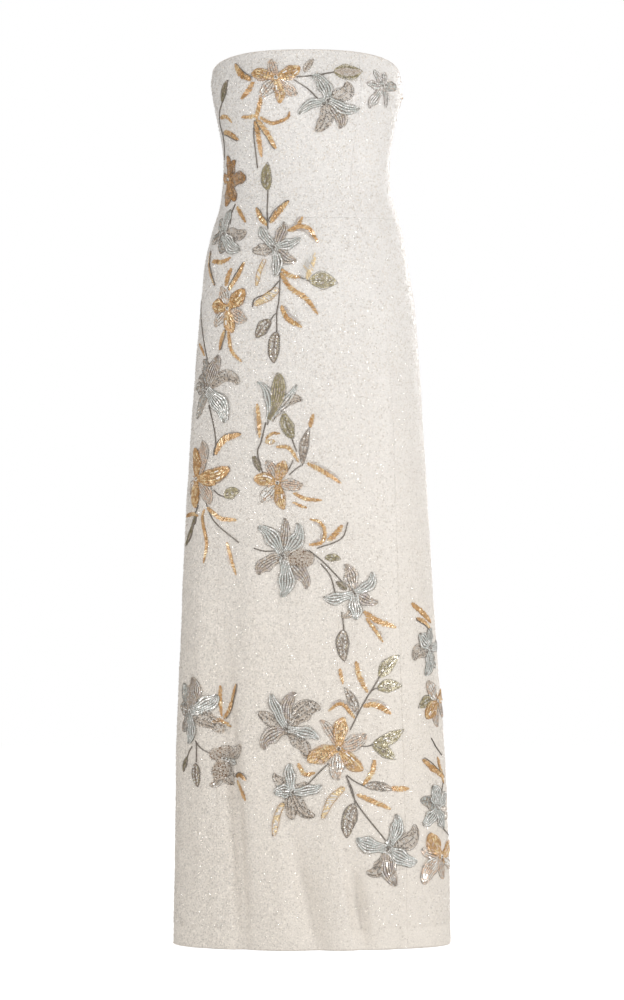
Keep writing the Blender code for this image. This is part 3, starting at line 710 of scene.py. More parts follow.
def smooth_path(places, steps=16):
    """A smooth curve through a few points."""
    ends = np.concatenate([[2 * places[0] - places[1]], places, [2 * places[-1] - places[-2]]])
    found = []
    for k in range(1, len(ends) - 2):
        t = np.linspace(0, 1, steps, endpoint=False)[:, None]
        a, b, c, d = ends[k - 1], ends[k], ends[k + 1], ends[k + 2]
        bend, twist = 2 * a - 5 * b + 4 * c - d, 3 * b - a - 3 * c + d
        found.append(0.5 * (2 * b + (c - a) * t + bend * t**2 + twist * t**3))
    return np.concatenate([*found, places[-1:]])


def walk(path, pitch):
    """Places along a path at even distances, with their directions and shares of the whole length."""
    steps = np.hypot(*np.diff(path, axis=0).T)
    length = np.concatenate([[0], np.cumsum(steps)])
    if length[-1] < pitch * 0.6:
        return np.zeros((0, 2)), np.zeros(0), np.zeros(0)
    count = max(int(length[-1] / pitch), 1)
    at = (np.arange(count) + 0.5) * length[-1] / count
    places, ahead, behind = (
        np.stack([np.interp(at + step, length, path[:, i]) for i in (0, 1)], axis=1)
        for step in (0, 0.3, -0.3)
    )
    turn = np.arctan2(ahead[:, 1] - behind[:, 1], ahead[:, 0] - behind[:, 0])
    return places, turn, at / length[-1]


def left_of(turn):
    return np.stack([-np.sin(turn), np.cos(turn)], axis=1)


def offset_path(path, aside):
    """The path moved to its left by aside, a number or one for each point."""
    ahead = np.gradient(path, axis=0)
    ahead /= np.hypot(ahead[:, 0], ahead[:, 1])[:, None] + 1e-9
    return path + np.stack([-ahead[:, 1], ahead[:, 0]], axis=1) * np.broadcast_to(aside, len(path))[:, None]


def choose(names, count, weights=None):
    """A bead colour for each bead, at random from a few."""
    picked = rng.choice(len(names), count, p=weights)
    return np.array([BEAD_SLOT[n] for n in names])[picked]


CLOSE, DOTTED = 1.06, 1.3  # from one bead of a line to the next, as a multiple of their length


def bead_line(work, path, slot, size, lift=0.0, jitter=0.0, spread=CLOSE, shape="tube"):
    """Beads one behind the other along a path."""
    places, turn, _ = walk(path, size[0] * spread)
    count = len(places)
    if count == 0:
        return
    slots = slot if isinstance(slot, str) else choose(slot, count)
    tip = rng.normal(0, jitter, count) if jitter else 0.0
    work.add(shape, slots, places, turn, size, lift, tip)


class Blade:
    """A leaf-like outline on the cloth: a middle line with a half width to each side along it."""

    def __init__(self, path, half_width, belly, blunt, wave, base=0.0):
        """belly: where it is widest, as a share of its length. blunt: 0 is a plain strip, 1 tapers evenly.
        base: its least width before that, as a share of the widest."""
        self.path = path
        t = np.linspace(0, 1, len(path))
        shape = np.sin(math.pi * t ** (math.log(0.5) / math.log(belly))) ** blunt
        shape *= 1.0 - 0.3 * t**6
        shape = np.where(t < belly, np.maximum(shape, base + (1 - base) * (t / belly) ** 1.5), shape)
        self.half = half_width * shape / shape.max()
        phase = rng.uniform(0, 6, 2)
        self.sides = [1 + wave * np.sin(2 * math.pi * 1.4 * t + p) * np.sin(math.pi * t) for p in phase]

    def line(self, across):
        side = self.sides[0] if across > 0 else self.sides[1]
        return offset_path(self.path, self.half * across * side)

    def edges(self, work, slot, size, lift=0.0, across=1):
        for side in (-across, across):
            bead_line(work, self.line(side), slot, size, lift, 0.05, DOTTED)

    def rows(self, pitch):
        """Evenly spaced lines across the widest part, as shares of the half width."""
        count = max(int(round(2 * self.half.max() / pitch)), 1)
        return (np.arange(count) + 0.5) / count * 2 - 1

    def trimmed(self, across, least):
        """The part of a line where the blade's half width is more than this share of the widest."""
        wide = self.half > least * self.half.max()
        if not wide.any():
            return self.line(across)[:0]
        first, last = np.argmax(wide), len(wide) - np.argmax(wide[::-1])
        return self.line(across)[first:last]

    def fill(self, work, slot, size, pitch, shape="tube", jitter=0.1, lift=0.0, by_row=False):
        """Rows of beads. by_row: each row keeps mostly to one of the tones."""
        for index, across in enumerate(self.rows(pitch) * 0.9):
            path = self.trimmed(across, 0.30 if index % 2 else 0.10)
            if len(path) > 3:
                tones = [slot[index % len(slot)]] * len(slot) + slot if by_row else slot
                bead_line(work, path, tones, size, lift, jitter, shape=shape)


# ---------------------------------------------------------------- motifs

# Sizes of beads: length, width, height
PALE_STRIPE_BEAD, DARK_STRIPE_BEAD = (3.0, 2.8, 1.3), (2.4, 1.1, 1.2)
SEED_BEAD, BUGLE_BEAD, PAINTED_HIGHLIGHT_BEAD = (2.2, 2.1, 1.4), (3.6, 2.0, 1.6), (6.6, 2.4, 1.6)
PETAL_EDGE_BEAD, LEAF_EDGE_BEAD, LEAF_SECOND_EDGE_BEAD = (2.2, 1.0, 1.0), (2.2, 1.1, 1.0), (2.2, 1.0, 1.2)
LEAF_BEAD, VEIN_BEAD, LEAF_CRYSTAL = (2.9, 1.6, 1.4), (2.4, 1.1, 1.4), (3.0, 2.2, 1.8)
RING_BEAD, CENTRE_BEAD = (2.6, 2.6, 2.2), (2.2, 2.2, 2.4)
STAMEN_BEAD, STAMEN_TIP, STEM_BEAD = (2.0, 0.9, 1.1), (2.0, 2.0, 1.8), (2.0, 1.0, 1.2)
STRAP_EDGE_BEAD, STRAP_DARK_BEAD = (2.4, 1.1, 1.4), (2.2, 1.3, 1.6)

STRIPE_PITCH, SEED_PITCH, BUGLE_PITCH, LEAF_PITCH = 3.9, 2.2, 2.15, 2.25
LEAF_STEP, CRYSTAL_STEP, PAINTED_HIGHLIGHT_STEP = 2.35, 4.6, 7.6
PAINTED_HIGHLIGHT_SHARE = 0.42  # of the places along a petal that get a pale bead as a painted highlight

STRIPES = {
    "s": (["pale_blue"] * 3 + ["silver", "ice"], ["outline", "blue_grey", "outline"]),
    "p": (["silver", "ice", "pale_blue", "smoke"], ["lilac_grey", "outline"]),
    "b": (["blush", "taupe_light", "smoke", "blush"], ["taupe", "taupe_dark", "outline"]),
    "c": (["blush", "crystal", "taupe_light"], ["taupe", "taupe_dark"]),
    "S": (["taupe", "lilac_grey", "taupe_light", "taupe", "silver"], ["taupe_dark", "outline", "stem"]),
    "o": (["olive", "olive_light", "olive", "taupe"], ["olive_dark", "outline"]),
}
SEEDS = {
    "t": ["taupe", "stem", "taupe_light", "taupe", "outline", "taupe_light", "silver"],
    "T": ["taupe", "taupe_light", "bronze_dark", "taupe", "taupe_light"],
    "k": ["blue_grey", "taupe", "pale_blue", "blue_grey", "taupe_dark"],
    # d: dark seed beads, partly the beads' own tone and partly painted shade for the lilies on the shaded
    # left side
    "d": ["taupe_dark", "blue_grey", "outline", "taupe_dark", "taupe", "silver"],
    "r": ["bronze", "bronze", "bronze_dark", "bronze_dark", "gold_deep", "gold"],
}
BUGLES = {
    "g": ["gold", "gold", "gold", "gold_deep", "blush", "gold_light"],
    "a": ["gold_deep", "gold", "bronze", "gold_deep", "gold", "gold_light"],
}
# Pale glossy beads laid in rows on gold, amber and clear petals as painted highlights
CLEAR_PAINTED_HIGHLIGHTS, GOLD_PAINTED_HIGHLIGHTS = ["ice", "crystal"], ["ice", "gold_light", "gold_light"]
PLAIN_EDGE = ["outline", "stem", "outline", "taupe"]
EDGES = {
    "s": ["outline", "outline", "blue_grey"],
    "p": ["outline", "lilac_grey"],
    "a": ["bronze_dark", "bronze"],
    "g": ["gold_deep", "bronze", "gold"],
    "b": ["taupe", "outline"],
    "c": ["taupe", "outline"],
    "r": ["bronze_dark"],
    "o": ["olive_dark", "outline"],
}

# Where a petal is widest, how it tapers, how wavy its edges are, and its least width near the base
PETAL_FORMS = {
    "d": (0.50, 0.50, 0.20, 0.58),
    "T": (0.60, 0.35, 0.06, 0.58),
    "t": (0.50, 0.50, 0.20, 0.58),
    "S": (0.50, 0.55, 0.20, 0.58),
    "k": (0.50, 0.50, 0.16, 0.58),
    "g": (0.56, 0.62, 0.10, 0.42),
    "a": (0.56, 0.62, 0.10, 0.42),
    "b": (0.55, 0.58, 0.14, 0.45),
    "c": (0.55, 0.58, 0.14, 0.45),
    "o": (0.66, 0.62, 0.08, 0.24),
}
PLAIN_PETAL_FORM = (0.52, 0.56, 0.24, 0.58)


def petal(work, kind, path, width, lift):
    """One petal along a path from the flower's middle to its tip."""
    blade = Blade(path, width / 2, *PETAL_FORMS.get(kind, PLAIN_PETAL_FORM))
    if kind in STRIPES:
        pale, dark = STRIPES[kind]
        rows = blade.rows(STRIPE_PITCH)
        for across in rows:
            line = blade.trimmed(across * 0.92, 0.16)
            bead_line(work, line, pale, PALE_STRIPE_BEAD, lift, 0.14)
        for across in (rows[:-1] + rows[1:]) / 2:
            line = blade.trimmed(across * 0.92, 0.22)
            bead_line(work, line, dark, DARK_STRIPE_BEAD, lift + 0.4, 0.03)
    elif kind in SEEDS:
        blade.fill(work, SEEDS[kind], SEED_BEAD, SEED_PITCH, "round", lift=lift, by_row=kind in "tkd")
    else:
        blade.fill(work, BUGLES[kind], BUGLE_BEAD, BUGLE_PITCH, jitter=0.16, lift=lift)
    # painted highlights: rows of pale beads along the belly of gold, amber and clear petals
    if kind in "gac":
        for across in (-0.5, -0.05, 0.42):
            places, turn, _ = walk(blade.trimmed(across, 0.62), PAINTED_HIGHLIGHT_STEP)
            highlight_slots = choose(CLEAR_PAINTED_HIGHLIGHTS if kind == "c" else GOLD_PAINTED_HIGHLIGHTS, len(places))
            shown = rng.uniform(0, 1, len(places)) < PAINTED_HIGHLIGHT_SHARE
            work.add("tube", highlight_slots[shown], places[shown], turn[shown], PAINTED_HIGHLIGHT_BEAD, lift + 0.9, 0.06)
    blade.edges(work, EDGES.get(kind, PLAIN_EDGE), PETAL_EDGE_BEAD, lift)


def flower_middle(work, middle, size, warm):
    """A ring of clear beads round a dark centre, with five short stamens."""
    count = 7
    turn = np.arange(count) * 2 * math.pi / count + rng.uniform(0, 1)
    ring = middle + 0.06 * size * np.stack([np.cos(turn), np.sin(turn)], axis=1)
    work.add("round", choose(["crystal", "silver", "mirror", "outline"], count), ring, turn, RING_BEAD, 1.8)
    work.add("round", "stem", [middle], 0.0, CENTRE_BEAD, 2.0)
    for _ in range(5):
        away = rng.uniform(0, 2 * math.pi)
        reach = size * rng.uniform(0.18, 0.30)
        bend = rng.uniform(-0.4, 0.4)
        t = np.linspace(0.1, 1, 8)[:, None]
        line = middle + reach * t * np.concatenate([np.cos(away + bend * t), np.sin(away + bend * t)], axis=1)
        bead_line(work, line, "gold_deep" if warm else "outline", STAMEN_BEAD, 2.0)
        work.add("round", "gold_light" if warm else "crystal", line[-1:], 0.0, STAMEN_TIP, 2.0)


# How far the tip curls beyond the petal's own bend, in degrees, and where along the petal the curl begins
TIP_CURL = {"d": 46, "t": 46, "S": 42, "k": 34, "T": 20, "g": 16, "a": 16, "o": 4}
PLAIN_TIP_CURL = 28
CURL_START = 0.58


def petal_path(middle, petal, start=0.03, steps=30):
    """From near the flower's middle to the curled tip; its chord points along petal.turn."""
    t = np.linspace(start, 1.0, steps)
    heading = math.radians(petal.bend) * (t**1.4 - 0.5)
    side = math.copysign(1, petal.bend) if abs(petal.bend) > 12 else rng.choice([-1, 1])
    curl = side * TIP_CURL.get(petal.kind, PLAIN_TIP_CURL) * rng.uniform(0.5, 1.4)
    heading += math.radians(curl) * np.clip((t - CURL_START) / (1 - CURL_START), 0, 1) ** 1.5
    step = np.stack([np.cos(heading), np.sin(heading)], axis=1) / (steps - 1) * (1 - start)
    path = np.cumsum(np.concatenate([[[start, 0.0]], step[1:]]), axis=0)
    chord = path[-1]
    swing = math.radians(petal.turn) - math.atan2(chord[1], chord[0])
    turned = path @ np.array([[math.cos(swing), math.sin(swing)], [-math.sin(swing), math.cos(swing)]])
    return middle + petal.length * turned


def lily(work, middle, petals, stretch):
    """An open lily. stretch makes it broader along the cloth where that is seen aslant."""
    for index, each in enumerate(petals):
        path = petal_path(middle, each)
        path[:, 0] = middle[0] + (path[:, 0] - middle[0]) * stretch
        upright = abs(math.sin(math.radians(each.turn)))
        width = each.width * (1 + (stretch - 1) * upright)
        petal(work, each.kind, path, width, 0.22 * index)
    if len(petals) > 4:
        size = sum(each.length for each in petals) / len(petals)
        flower_middle(work, middle, size, petals[-1].kind in "gabcr")


# Beads near the edge, beads in the middle, outline, vein
LEAF_LOOKS = {
    "olive": (
        ["olive", "olive_dark", "olive", "olive_light"],
        ["olive", "silver", "taupe_dark", "olive"],
        ["outline", "olive_dark"],
        "olive_dark",
    ),
    "pale": (
        ["olive", "olive_dark", "olive_light"],
        ["taupe_light", "smoke", "taupe"],
        ["olive_dark", "olive"],
        "taupe",
    ),
    "crystal": (
        ["taupe", "taupe_dark", "olive_light", "taupe_dark"],
        ["taupe", "silver", "taupe_dark"],
        ["outline", "stem"],
        "taupe_dark",
    ),
    "grey": (["taupe", "taupe_dark", "outline"], ["taupe", "silver", "taupe_dark"], "outline", "taupe_dark"),
    "taupe": (["taupe", "taupe_light"], ["taupe_light", "taupe"], "outline", "taupe_dark"),
    "dark": (
        ["taupe_dark", "olive_dark", "outline"],
        ["olive_dark", "taupe"],
        ["outline", "stem"],
        "olive_dark",
    ),
}
LEAF_SCATTER = 0.8  # how much the beads inside a leaf turn from its length, in radians


def leaf(work, kind, base, tip, width):
    """A pointed leaf or bud with an outline and a middle vein."""
    t = np.linspace(0, 1, 24)[:, None]
    across = np.array([-(tip - base)[1], (tip - base)[0]])
    path = base + (tip - base) * t + across * 0.06 * np.sin(math.pi * t) * rng.choice([-1, 1])
    blade = Blade(path, width / 2, belly=0.46, blunt=0.6 if kind == "crystal" else 0.85, wave=0.08)
    outer, inner, edge, vein = LEAF_LOOKS[kind]
    for index, row in enumerate(blade.rows(LEAF_PITCH) * 0.88):
        places, turn, _ = walk(blade.trimmed(row, 0.35 if index % 2 else 0.15), LEAF_STEP)
        turn = turn + rng.normal(0, LEAF_SCATTER, len(places))
        slots = choose(inner if abs(row) < 0.5 else outer, len(places))
        work.add("tube", slots, places, turn, LEAF_BEAD, 0.0, rng.normal(0, 0.12, len(places)))
    blade.edges(work, edge, LEAF_EDGE_BEAD)
    bead_line(work, blade.line(0)[2:-3], vein, VEIN_BEAD, 1.1)
    if kind == "crystal":
        blade.edges(work, edge, LEAF_SECOND_EDGE_BEAD, 0.6, 0.86)
        for aside in (-0.5, 0.35):
            line = blade.trimmed(aside, 0.55)
            places, turn, _ = walk(line + rng.normal(0, 0.5, line.shape), CRYSTAL_STEP)
            turn = turn + rng.normal(0, LEAF_SCATTER, len(places))
            slots = choose(["ice", "crystal", "silver"], len(places))
            work.add("round", slots, places, turn, LEAF_CRYSTAL, 1.2)


CLEAR_STRAP_TONES = ["gold_light", "smoke", "gold_light", "pearl", "gold_light"]
GOLD_STRAP_TONES = ["gold", "gold_deep", "gold", "bronze", "gold", "gold", "gold_light"]
DISC_STEP, RUNG_STEP, RUNG_SLANT = 2.8, 1.75, 0.6
RUNG_WIDTH, RUNG_HEIGHT, DISC_OVAL, DISC_HEIGHT = 1.7, 1.6, 0.92, 0.5


def scales(work, blade, tones, reverse):
    """Slanting bugle beads across a narrow leaf, of uneven length, with loose discs on top of them."""
    places, turn, share = walk(blade.path, RUNG_STEP)
    count = len(places)
    half = np.interp(share, np.linspace(0, 1, len(blade.half)), blade.half)
    reach = 2 * half * rng.uniform(0.88, 1.14, count)
    slant = math.pi / 2 + (RUNG_SLANT if reverse else -RUNG_SLANT) + rng.normal(0, 0.10, count)
    moved = places + left_of(turn) * rng.normal(0, 0.22, count)[:, None]
    run = (np.sin(share * rng.uniform(3, 9) + rng.uniform(0, 6)) + rng.normal(0, 0.5, count)) > 0.6
    slots = np.where(run, choose(tones[-2:], count), choose(tones[:-1], count))
    size = (reach, RUNG_WIDTH, RUNG_HEIGHT)
    work.add("tube", slots, moved, turn + slant, size, 0.0, rng.normal(0, 0.11, count))
    places, turn, share = walk(blade.path, DISC_STEP)
    count = len(places)
    shown = rng.uniform(0, 1, count) < 0.55
    half = np.interp(share, np.linspace(0, 1, len(blade.half)), blade.half)
    moved = places + left_of(turn) * (half * rng.uniform(-0.4, 0.4, count))[:, None]
    across = np.clip(half * rng.uniform(1.0, 1.5, count), 1.8, 4.4)[shown]
    tip = rng.normal(0.2, 0.22, count)
    slots = choose(tones, count)
    size = (across, across * DISC_OVAL, DISC_HEIGHT)
    work.add("disc", slots[shown], moved[shown], turn[shown], size, 1.5, tip[shown])


def strap(work, kind, width, places):
    """A narrow curved leaf of slanting gold beads, some with a dark edge or a grey fringe beside them."""
    blade = Blade(smooth_path(places), width * 0.62, belly=0.46, blunt=0.24, wave=0.12)
    tones = CLEAR_STRAP_TONES if kind in ("sequin", "fan") else GOLD_STRAP_TONES
    scales(work, blade, tones, rng.choice([0, 1]))
    side = rng.choice([-1, 1])
    if kind == "sequin":
        blade.edges(work, ["gold", "gold_deep"], STRAP_EDGE_BEAD, 0.5)
    if kind == "edged":
        bead_line(work, blade.line(side * 1.05), ["stem", "outline"], STRAP_DARK_BEAD, 0.6)
    if kind == "feather":
        places, turn, share = walk(blade.line(side * 1.5), 1.7)
        keep = (share > 0.12) & (share < 0.88)
        slots = choose(["lilac_grey", "taupe_light", "silver", "taupe"], int(keep.sum()))
        reach = 4.6 * np.sin(math.pi * share[keep]) ** 0.5
        work.add("tube", slots, places[keep], turn[keep] + side * 0.8, (reach, 1.1, 1.2))
    if kind == "fan":
        places, turn, share = walk(blade.line(1.2), 2.6)
        slots = choose(["ice", "silver", "gold_light"], len(places))
        work.add("tube", slots, places + left_of(turn) * 3.0, turn + 1.0, (7.5, 1.5, 1.5), 0.6)


def stem(work, places):
    path = smooth_path(places)
    for aside, tones in ((0.5, ["stem", "stem", "outline"]), (-0.5, ["stem", "outline", "stem"])):
        bead_line(work, offset_path(path, aside), tones, STEM_BEAD, 0.1, 0.05)


MOST_STRETCH = 1.4


def in_window(window, x, z):
    return window.x_low < x < window.x_high and window.z_low < z < window.z_high


def placed(window, places):
    """Places on the front, or the same places carried round to where the window's sprays are repeated."""
    found = on_cloth(np.reshape(places, (-1, 2)))
    if window.round_share:
        found[:, 0] += window.round_share * np.interp(found[:, 1], LADDER_Z, HALF_ROUND)
        found[:, 1] += window.rise
    return found


def beadwork(materials):
    for window in WINDOWS:
        for row in (Lily(*row) for row in LILIES if in_window(window, *row[1:3])):
            work = BeadWork(f"{window.name}_lily_{row.name}")
            _, along, _, _ = cloth_frames(*on_cloth([(row.x, row.z)]).T)
            stretch = 1.0 if window.round_share else min(1 / abs(along[0, 0]), MOST_STRETCH)
            petals = [Petal(*each) for each in row.petals]
            lily(work, placed(window, (row.x, row.z))[0], petals, stretch)
            work.make(materials)
        work = BeadWork(f"{window.name}_leaves")
        for kind, x, z, x_tip, z_tip, width in LEAVES:
            if in_window(window, x, z):
                base, tip = placed(window, (x, z, x_tip, z_tip))
                leaf(work, kind, base, tip, width)
        work.make(materials)
        work = BeadWork(f"{window.name}_straps")
        for kind, width, places in STRAPS:
            if in_window(window, *places[:2]):
                strap(work, kind, width, placed(window, places))
        work.make(materials)
        work = BeadWork(f"{window.name}_stems")
        for places in STEMS:
            if in_window(window, *places[:2]):
                stem(work, placed(window, places))
        work.make(materials)


# ---------------------------------------------------------------- cloth

COLUMN_PITCH, ROW_PITCH = 5.0, 9.0
EDGE_STEPS = np.array([0.0, 0.8, 1.8, 3.2, 5.5])  # close columns and rows beside each seam
STITCH_ROWS = np.array([-4, -2, -1, 0, 1, 2, 4.0])  # close rows beside the stitches of the hem
MEASURED_AT = {"bodice": -75.0, "skirt": -700.0}  # the height where a panel's columns are counted
SEAM_GAP = 0.05  # the shells meet more closely than the solids
SEAM_DIP, SEAM_DIP_WIDTH = 0.17, 1.7
EDGE_DIP, EDGE_DIP_WIDTH = 0.6, 1.2
HEM_STITCH_DIP, HEM_STITCH_WIDTH = 0.8, 2.4


def beside(share, z, millimetres):
    section = section_at(np.asarray(z, float))
    return share + millimetres / (arc_length(0.0, 0.5, section) / 0.5)


def seam_share(seam, z):
    if seam == "front":
        return share_at(table_at(FRONT_SEAM, z)[0], section_at(z))
    return np.full(np.shape(z), 0.5 if seam == "side" else 1.0)


def panel_border(seam, side, inwards, z):
    z = np.asarray(z, float)
    half_gap = np.full(np.shape(z), SEAM_GAP / 2)
    if seam == "back":
        half_gap = np.where(z > NECK_BACK - NOTCH_DEPTH, NOTCH_WIDTH / 2, half_gap)
    return beside(side * seam_share(seam, z), z, inwards * half_gap)


def with_edge_steps(length, pitch):
    """Distances across a length: close together at both ends, even between."""
    middle = np.linspace(EDGE_STEPS[-1], length - EDGE_STEPS[-1], max(int(length / pitch), 2))
    return np.concatenate([EDGE_STEPS[:-1], middle, length - EDGE_STEPS[-2::-1]]) / length


def panel_shares(panel, part):
    """The rows and columns of a panel: shares of a half turn and heights, and distances from its borders."""
    z = MEASURED_AT[part]
    borders = panel_border(*panel.left, 1, z), panel_border(*panel.right, -1, z)
    width = float(arc_length(*borders, section_at(np.array(z))))
    columns = with_edge_steps(width, COLUMN_PITCH)
    low = WAIST_SEAM + SEAM_GAP / 2 if part == "bodice" else HEM
    length = -low if part == "bodice" else WAIST_SEAM - HEM
    rows = with_edge_steps(length, ROW_PITCH)
    if part == "skirt":
        stitch = (HEM_DEPTH + STITCH_ROWS) / length
        rows = np.unique(np.round(np.concatenate([rows, stitch]), 5))
    column, row = np.meshgrid(columns, rows)
    z = np.full(column.shape, low) + row * length
    for _ in range(4):
        left, right = panel_border(*panel.left, 1, z), panel_border(*panel.right, -1, z)
        share = left + (right - left) * column
        top = neckline(share) if part == "bodice" else np.full(share.shape, WAIST_SEAM - SEAM_GAP / 2)
        z = low + (top - low) * row
    section = section_at(z)
    from_side = np.minimum(arc_length(share, left, section), arc_length(share, right, section))
    from_low, from_top = z - low, top - z
    from_waist, from_free = (from_low, from_top) if part == "bodice" else (from_top, from_low)
    return share, z, from_side, from_waist, from_free


def shell_faces(number, away):
    """Outer and inner faces and rims of a thin wall. away: an inner corner's number less its outer one's."""
    a, b, c, d = number[:-1, :-1], number[:-1, 1:], number[1:, 1:], number[1:, :-1]
    front = np.stack([a, b, c, d], axis=-1).reshape(-1, 4)
    behind = front[:, ::-1] + away
    rims = []
    for line, flip in ((number[0], 1), (number[-1], 0), (number[:, 0], 0), (number[:, -1], 1)):
        rim = np.stack([line[:-1], line[1:], line[1:] + away, line[:-1] + away], axis=1)
        rims.append(rim[:, ::-1] if flip else rim)
    return front, behind, np.concatenate(rims)


def near(distance, width):
    """1 at a line, falling away within the given width of it."""
    return np.exp(-((distance / width) ** 2))


def puckers(share, z):
    return 0.65 + 0.35 * np.sin(z / 2.9 + 4 * np.sin(z / 17)) * np.cos(share * 9)


def panel_shell(panel, part, materials):
    share, z, from_side, from_waist, from_free = panel_shares(panel, part)
    dip = SEAM_DIP * near(from_side, SEAM_DIP_WIDTH) * puckers(share, z)
    dip += SEAM_DIP * near(from_waist, SEAM_DIP_WIDTH) * puckers(share, share * 400)
    dip += EDGE_DIP * near(from_free, EDGE_DIP_WIDTH)
    if part == "skirt":
        stitched = near(z - HEM - HEM_DEPTH, HEM_STITCH_WIDTH)
        dip += HEM_STITCH_DIP * stitched * (0.6 + 0.4 * np.sin(share * 240) * np.sin(share * 57))
    outer, inner = cloth(share, z, dip), cloth(share, z, WALL)
    front, behind, rims = shell_faces(np.arange(share.size).reshape(share.shape), share.size)
    points = np.concatenate([outer.reshape(-1, 3), inner.reshape(-1, 3)])
    faces = [front, behind, rims]
    slots = [np.zeros(len(front)), np.ones(len(behind)), np.zeros(len(rims))]
    name = f"{part}_{panel.name}"
    made = mesh_object("cloth_" + name, points, faces, materials, slots)
    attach(made, BODY)
    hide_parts(name)
    return made, panel_cut(outer)


def panel_cut(outer):
    """Width, length and area of a panel as it is cut flat, in metres."""
    across = np.linalg.norm(np.diff(outer, axis=1), axis=-1)
    up = np.linalg.norm(np.diff(outer, axis=0), axis=-1)
    width, length = across.sum(axis=1).max() * MM, up.sum(axis=0).max() * MM
    area = float((across[:-1] * (up[:, :-1] + up[:, 1:]) / 2).sum()) * MM * MM
    return width, length, area


def ground_material():
    """Ivory cloth crowded with tiny beads: cells of uneven tone, the brightest partly painted glints, with
    painted light making the grain stronger on the shaded left and fainter on the lit right, a cooler bodice
    and a warmer hem.
    """
    made, tree, shader = shader_material("beaded_ground")
    place = add_node(tree, "TexCoord").outputs["Object"]
    cells = add_node(tree, "TexVoronoi", {"Vector": place, "Scale": 600.0}).outputs
    fine = add_node(tree, "TexNoise", {"Vector": place, "Scale": 900.0, "Detail": 3.0}).outputs["Fac"]
    broad = add_node(tree, "TexNoise", {"Vector": place, "Scale": 14.0}).outputs["Fac"]
    at = add_node(tree, "SeparateXYZ", {0: place}).outputs
    down = map_range(tree, at["Z"], (-0.10, -1.00), (0.0, 1.0), "SMOOTHSTEP")
    hue = mixed(tree, down, linear((232, 229, 226)), linear((229, 222, 213)))
    # random bead tone, whose brightest cells stand in part for painted glints
    tone = ramp(tree, cells["Color"], grey(0.58), grey(1.3), (0.3, grey(0.88)), (0.78, grey(1.03)))
    aside = map_range(tree, at["X"], (-0.12, 0.12), (1.0, 0.42))  # painted light: the grain's contrast is stronger on the shaded left, fainter on the lit right
    grain_with_painted_light = mixed(tree, aside, hue, tone, "MULTIPLY")
    cloud = map_range(tree, broad, (0.0, 1.0), (0.965, 1.02))
    pits = {0: cells["Distance"], 1: -1.0, 2: fine}
    relief = add_node(tree, "Math", pits, operation="MULTIPLY_ADD").outputs["Value"]
    looks = {
        "Base Color": mixed(tree, 1.0, grain_with_painted_light, cloud, "MULTIPLY"),
        "Normal": bump(tree, relief, Strength=0.55, Distance=0.0008),
        "Roughness": 0.5,
        "Specular IOR Level": 0.35,
        "Coat Weight": 0.08,
        "Coat Roughness": 0.25,
    }
    set_inputs(tree, shader, looks)
    return made


def woven(name, wave_looks, directions, dark, light, roughness, **relief):
    """Threads as bands in the given directions."""
    made, tree, shader = shader_material(name)
    inputs = {"Vector": add_node(tree, "TexCoord").outputs["Object"], **wave_looks}
    waves = [add_node(tree, "TexWave", inputs, bands_direction=way).outputs["Fac"] for way in directions]
    threads = waves[0]
    if len(waves) > 1:
        threads = add_node(tree, "Math", dict(enumerate(waves)), operation="MULTIPLY").outputs["Value"]
    colour = ramp(tree, threads, linear(dark), linear(light))
    normal = bump(tree, threads, **relief)
    set_inputs(tree, shader, {"Base Color": colour, "Normal": normal, "Roughness": roughness})
    return made


def backing_material():
    """The plain woven inside of the cloth."""
    looks, relief = {"Scale": 420.0, "Distortion": 0.6}, {"Strength": 0.4, "Distance": 0.0004}
    return woven("woven_backing", looks, ("Z", "X"), (205, 194, 177), (232, 224, 210), 0.85, **relief)


def tape_material():
    looks, relief = {"Scale": 260.0}, {"Distance": 0.0003}
    return woven("zip_tape", looks, ("DIAGONAL",), (206, 197, 182), (228, 220, 206), 0.8, **relief)


def metal_material():
    made, tree, shader = shader_material("pale_metal")
    place = add_node(tree, "TexCoord").outputs["Object"]
    scratches = add_node(tree, "TexNoise", {"Vector": place, "Scale": 1400.0}).outputs["Fac"]
    colour = ramp(tree, scratches, linear((196, 190, 180)), linear((222, 217, 208)))
    rough = map_range(tree, scratches, (0.0, 1.0), (0.2, 0.38))
    set_inputs(tree, shader, {"Base Color": colour, "Roughness": rough, "Metallic": 1.0})
    return made


# ---------------------------------------------------------------- sequins of the ground

GROUND_PITCH, BACK_PITCH = 4.1, 5.0  # one loose sequin for each square of this size
HEM_BAND_SHARE = 0.2  # of the sequins that stay on the turned-up hem
SEQUIN_SIZES, SEQUIN_RISE, SEQUIN_LIFT = (1.9, 2.9), 0.5, 0.35
MIRROR_SIZE, MIRROR_RISE = 0.6, 0.12  # the first as a share of the other sequins' size
EDGE_MARGIN = 1.5
ZIP_MARGIN, ZIP_MARGIN_LOW = 0.03, -40  # no sequins so near to the zip, in half turns, above this height
WIDEST_PANEL = 330.0
GROUND_TONES = ["pearl", "ivory", "smoke", "mirror"]
# Shares of pearl, ivory, smoke and mirror sequins on each side. Painted light: the shaded left gets more
# smoke and mirror sequins for darker grain and glints, the lit right more pearl and ivory, so that it shows
# paler
GROUND_MIX_WITH_PAINTED_LIGHT = {
    "left": (0.14, 0.20, 0.26, 0.40),
    "centre": (0.28, 0.28, 0.18, 0.26),
    "right": (0.44, 0.42, 0.08, 0.06),
}
GROUND_TILT = {"left": 0.26, "centre": 0.20, "right": 0.12}

EDGE_BEAD_TONES, EDGE_BEAD_MIX = ["pearl", "ivory", "smoke"], (0.5, 0.35, 0.15)
EDGE_BEAD_HEIGHT, EDGE_BEAD_LIFT, EDGE_BEAD_SPREAD = 1.3, -0.3, 1.12


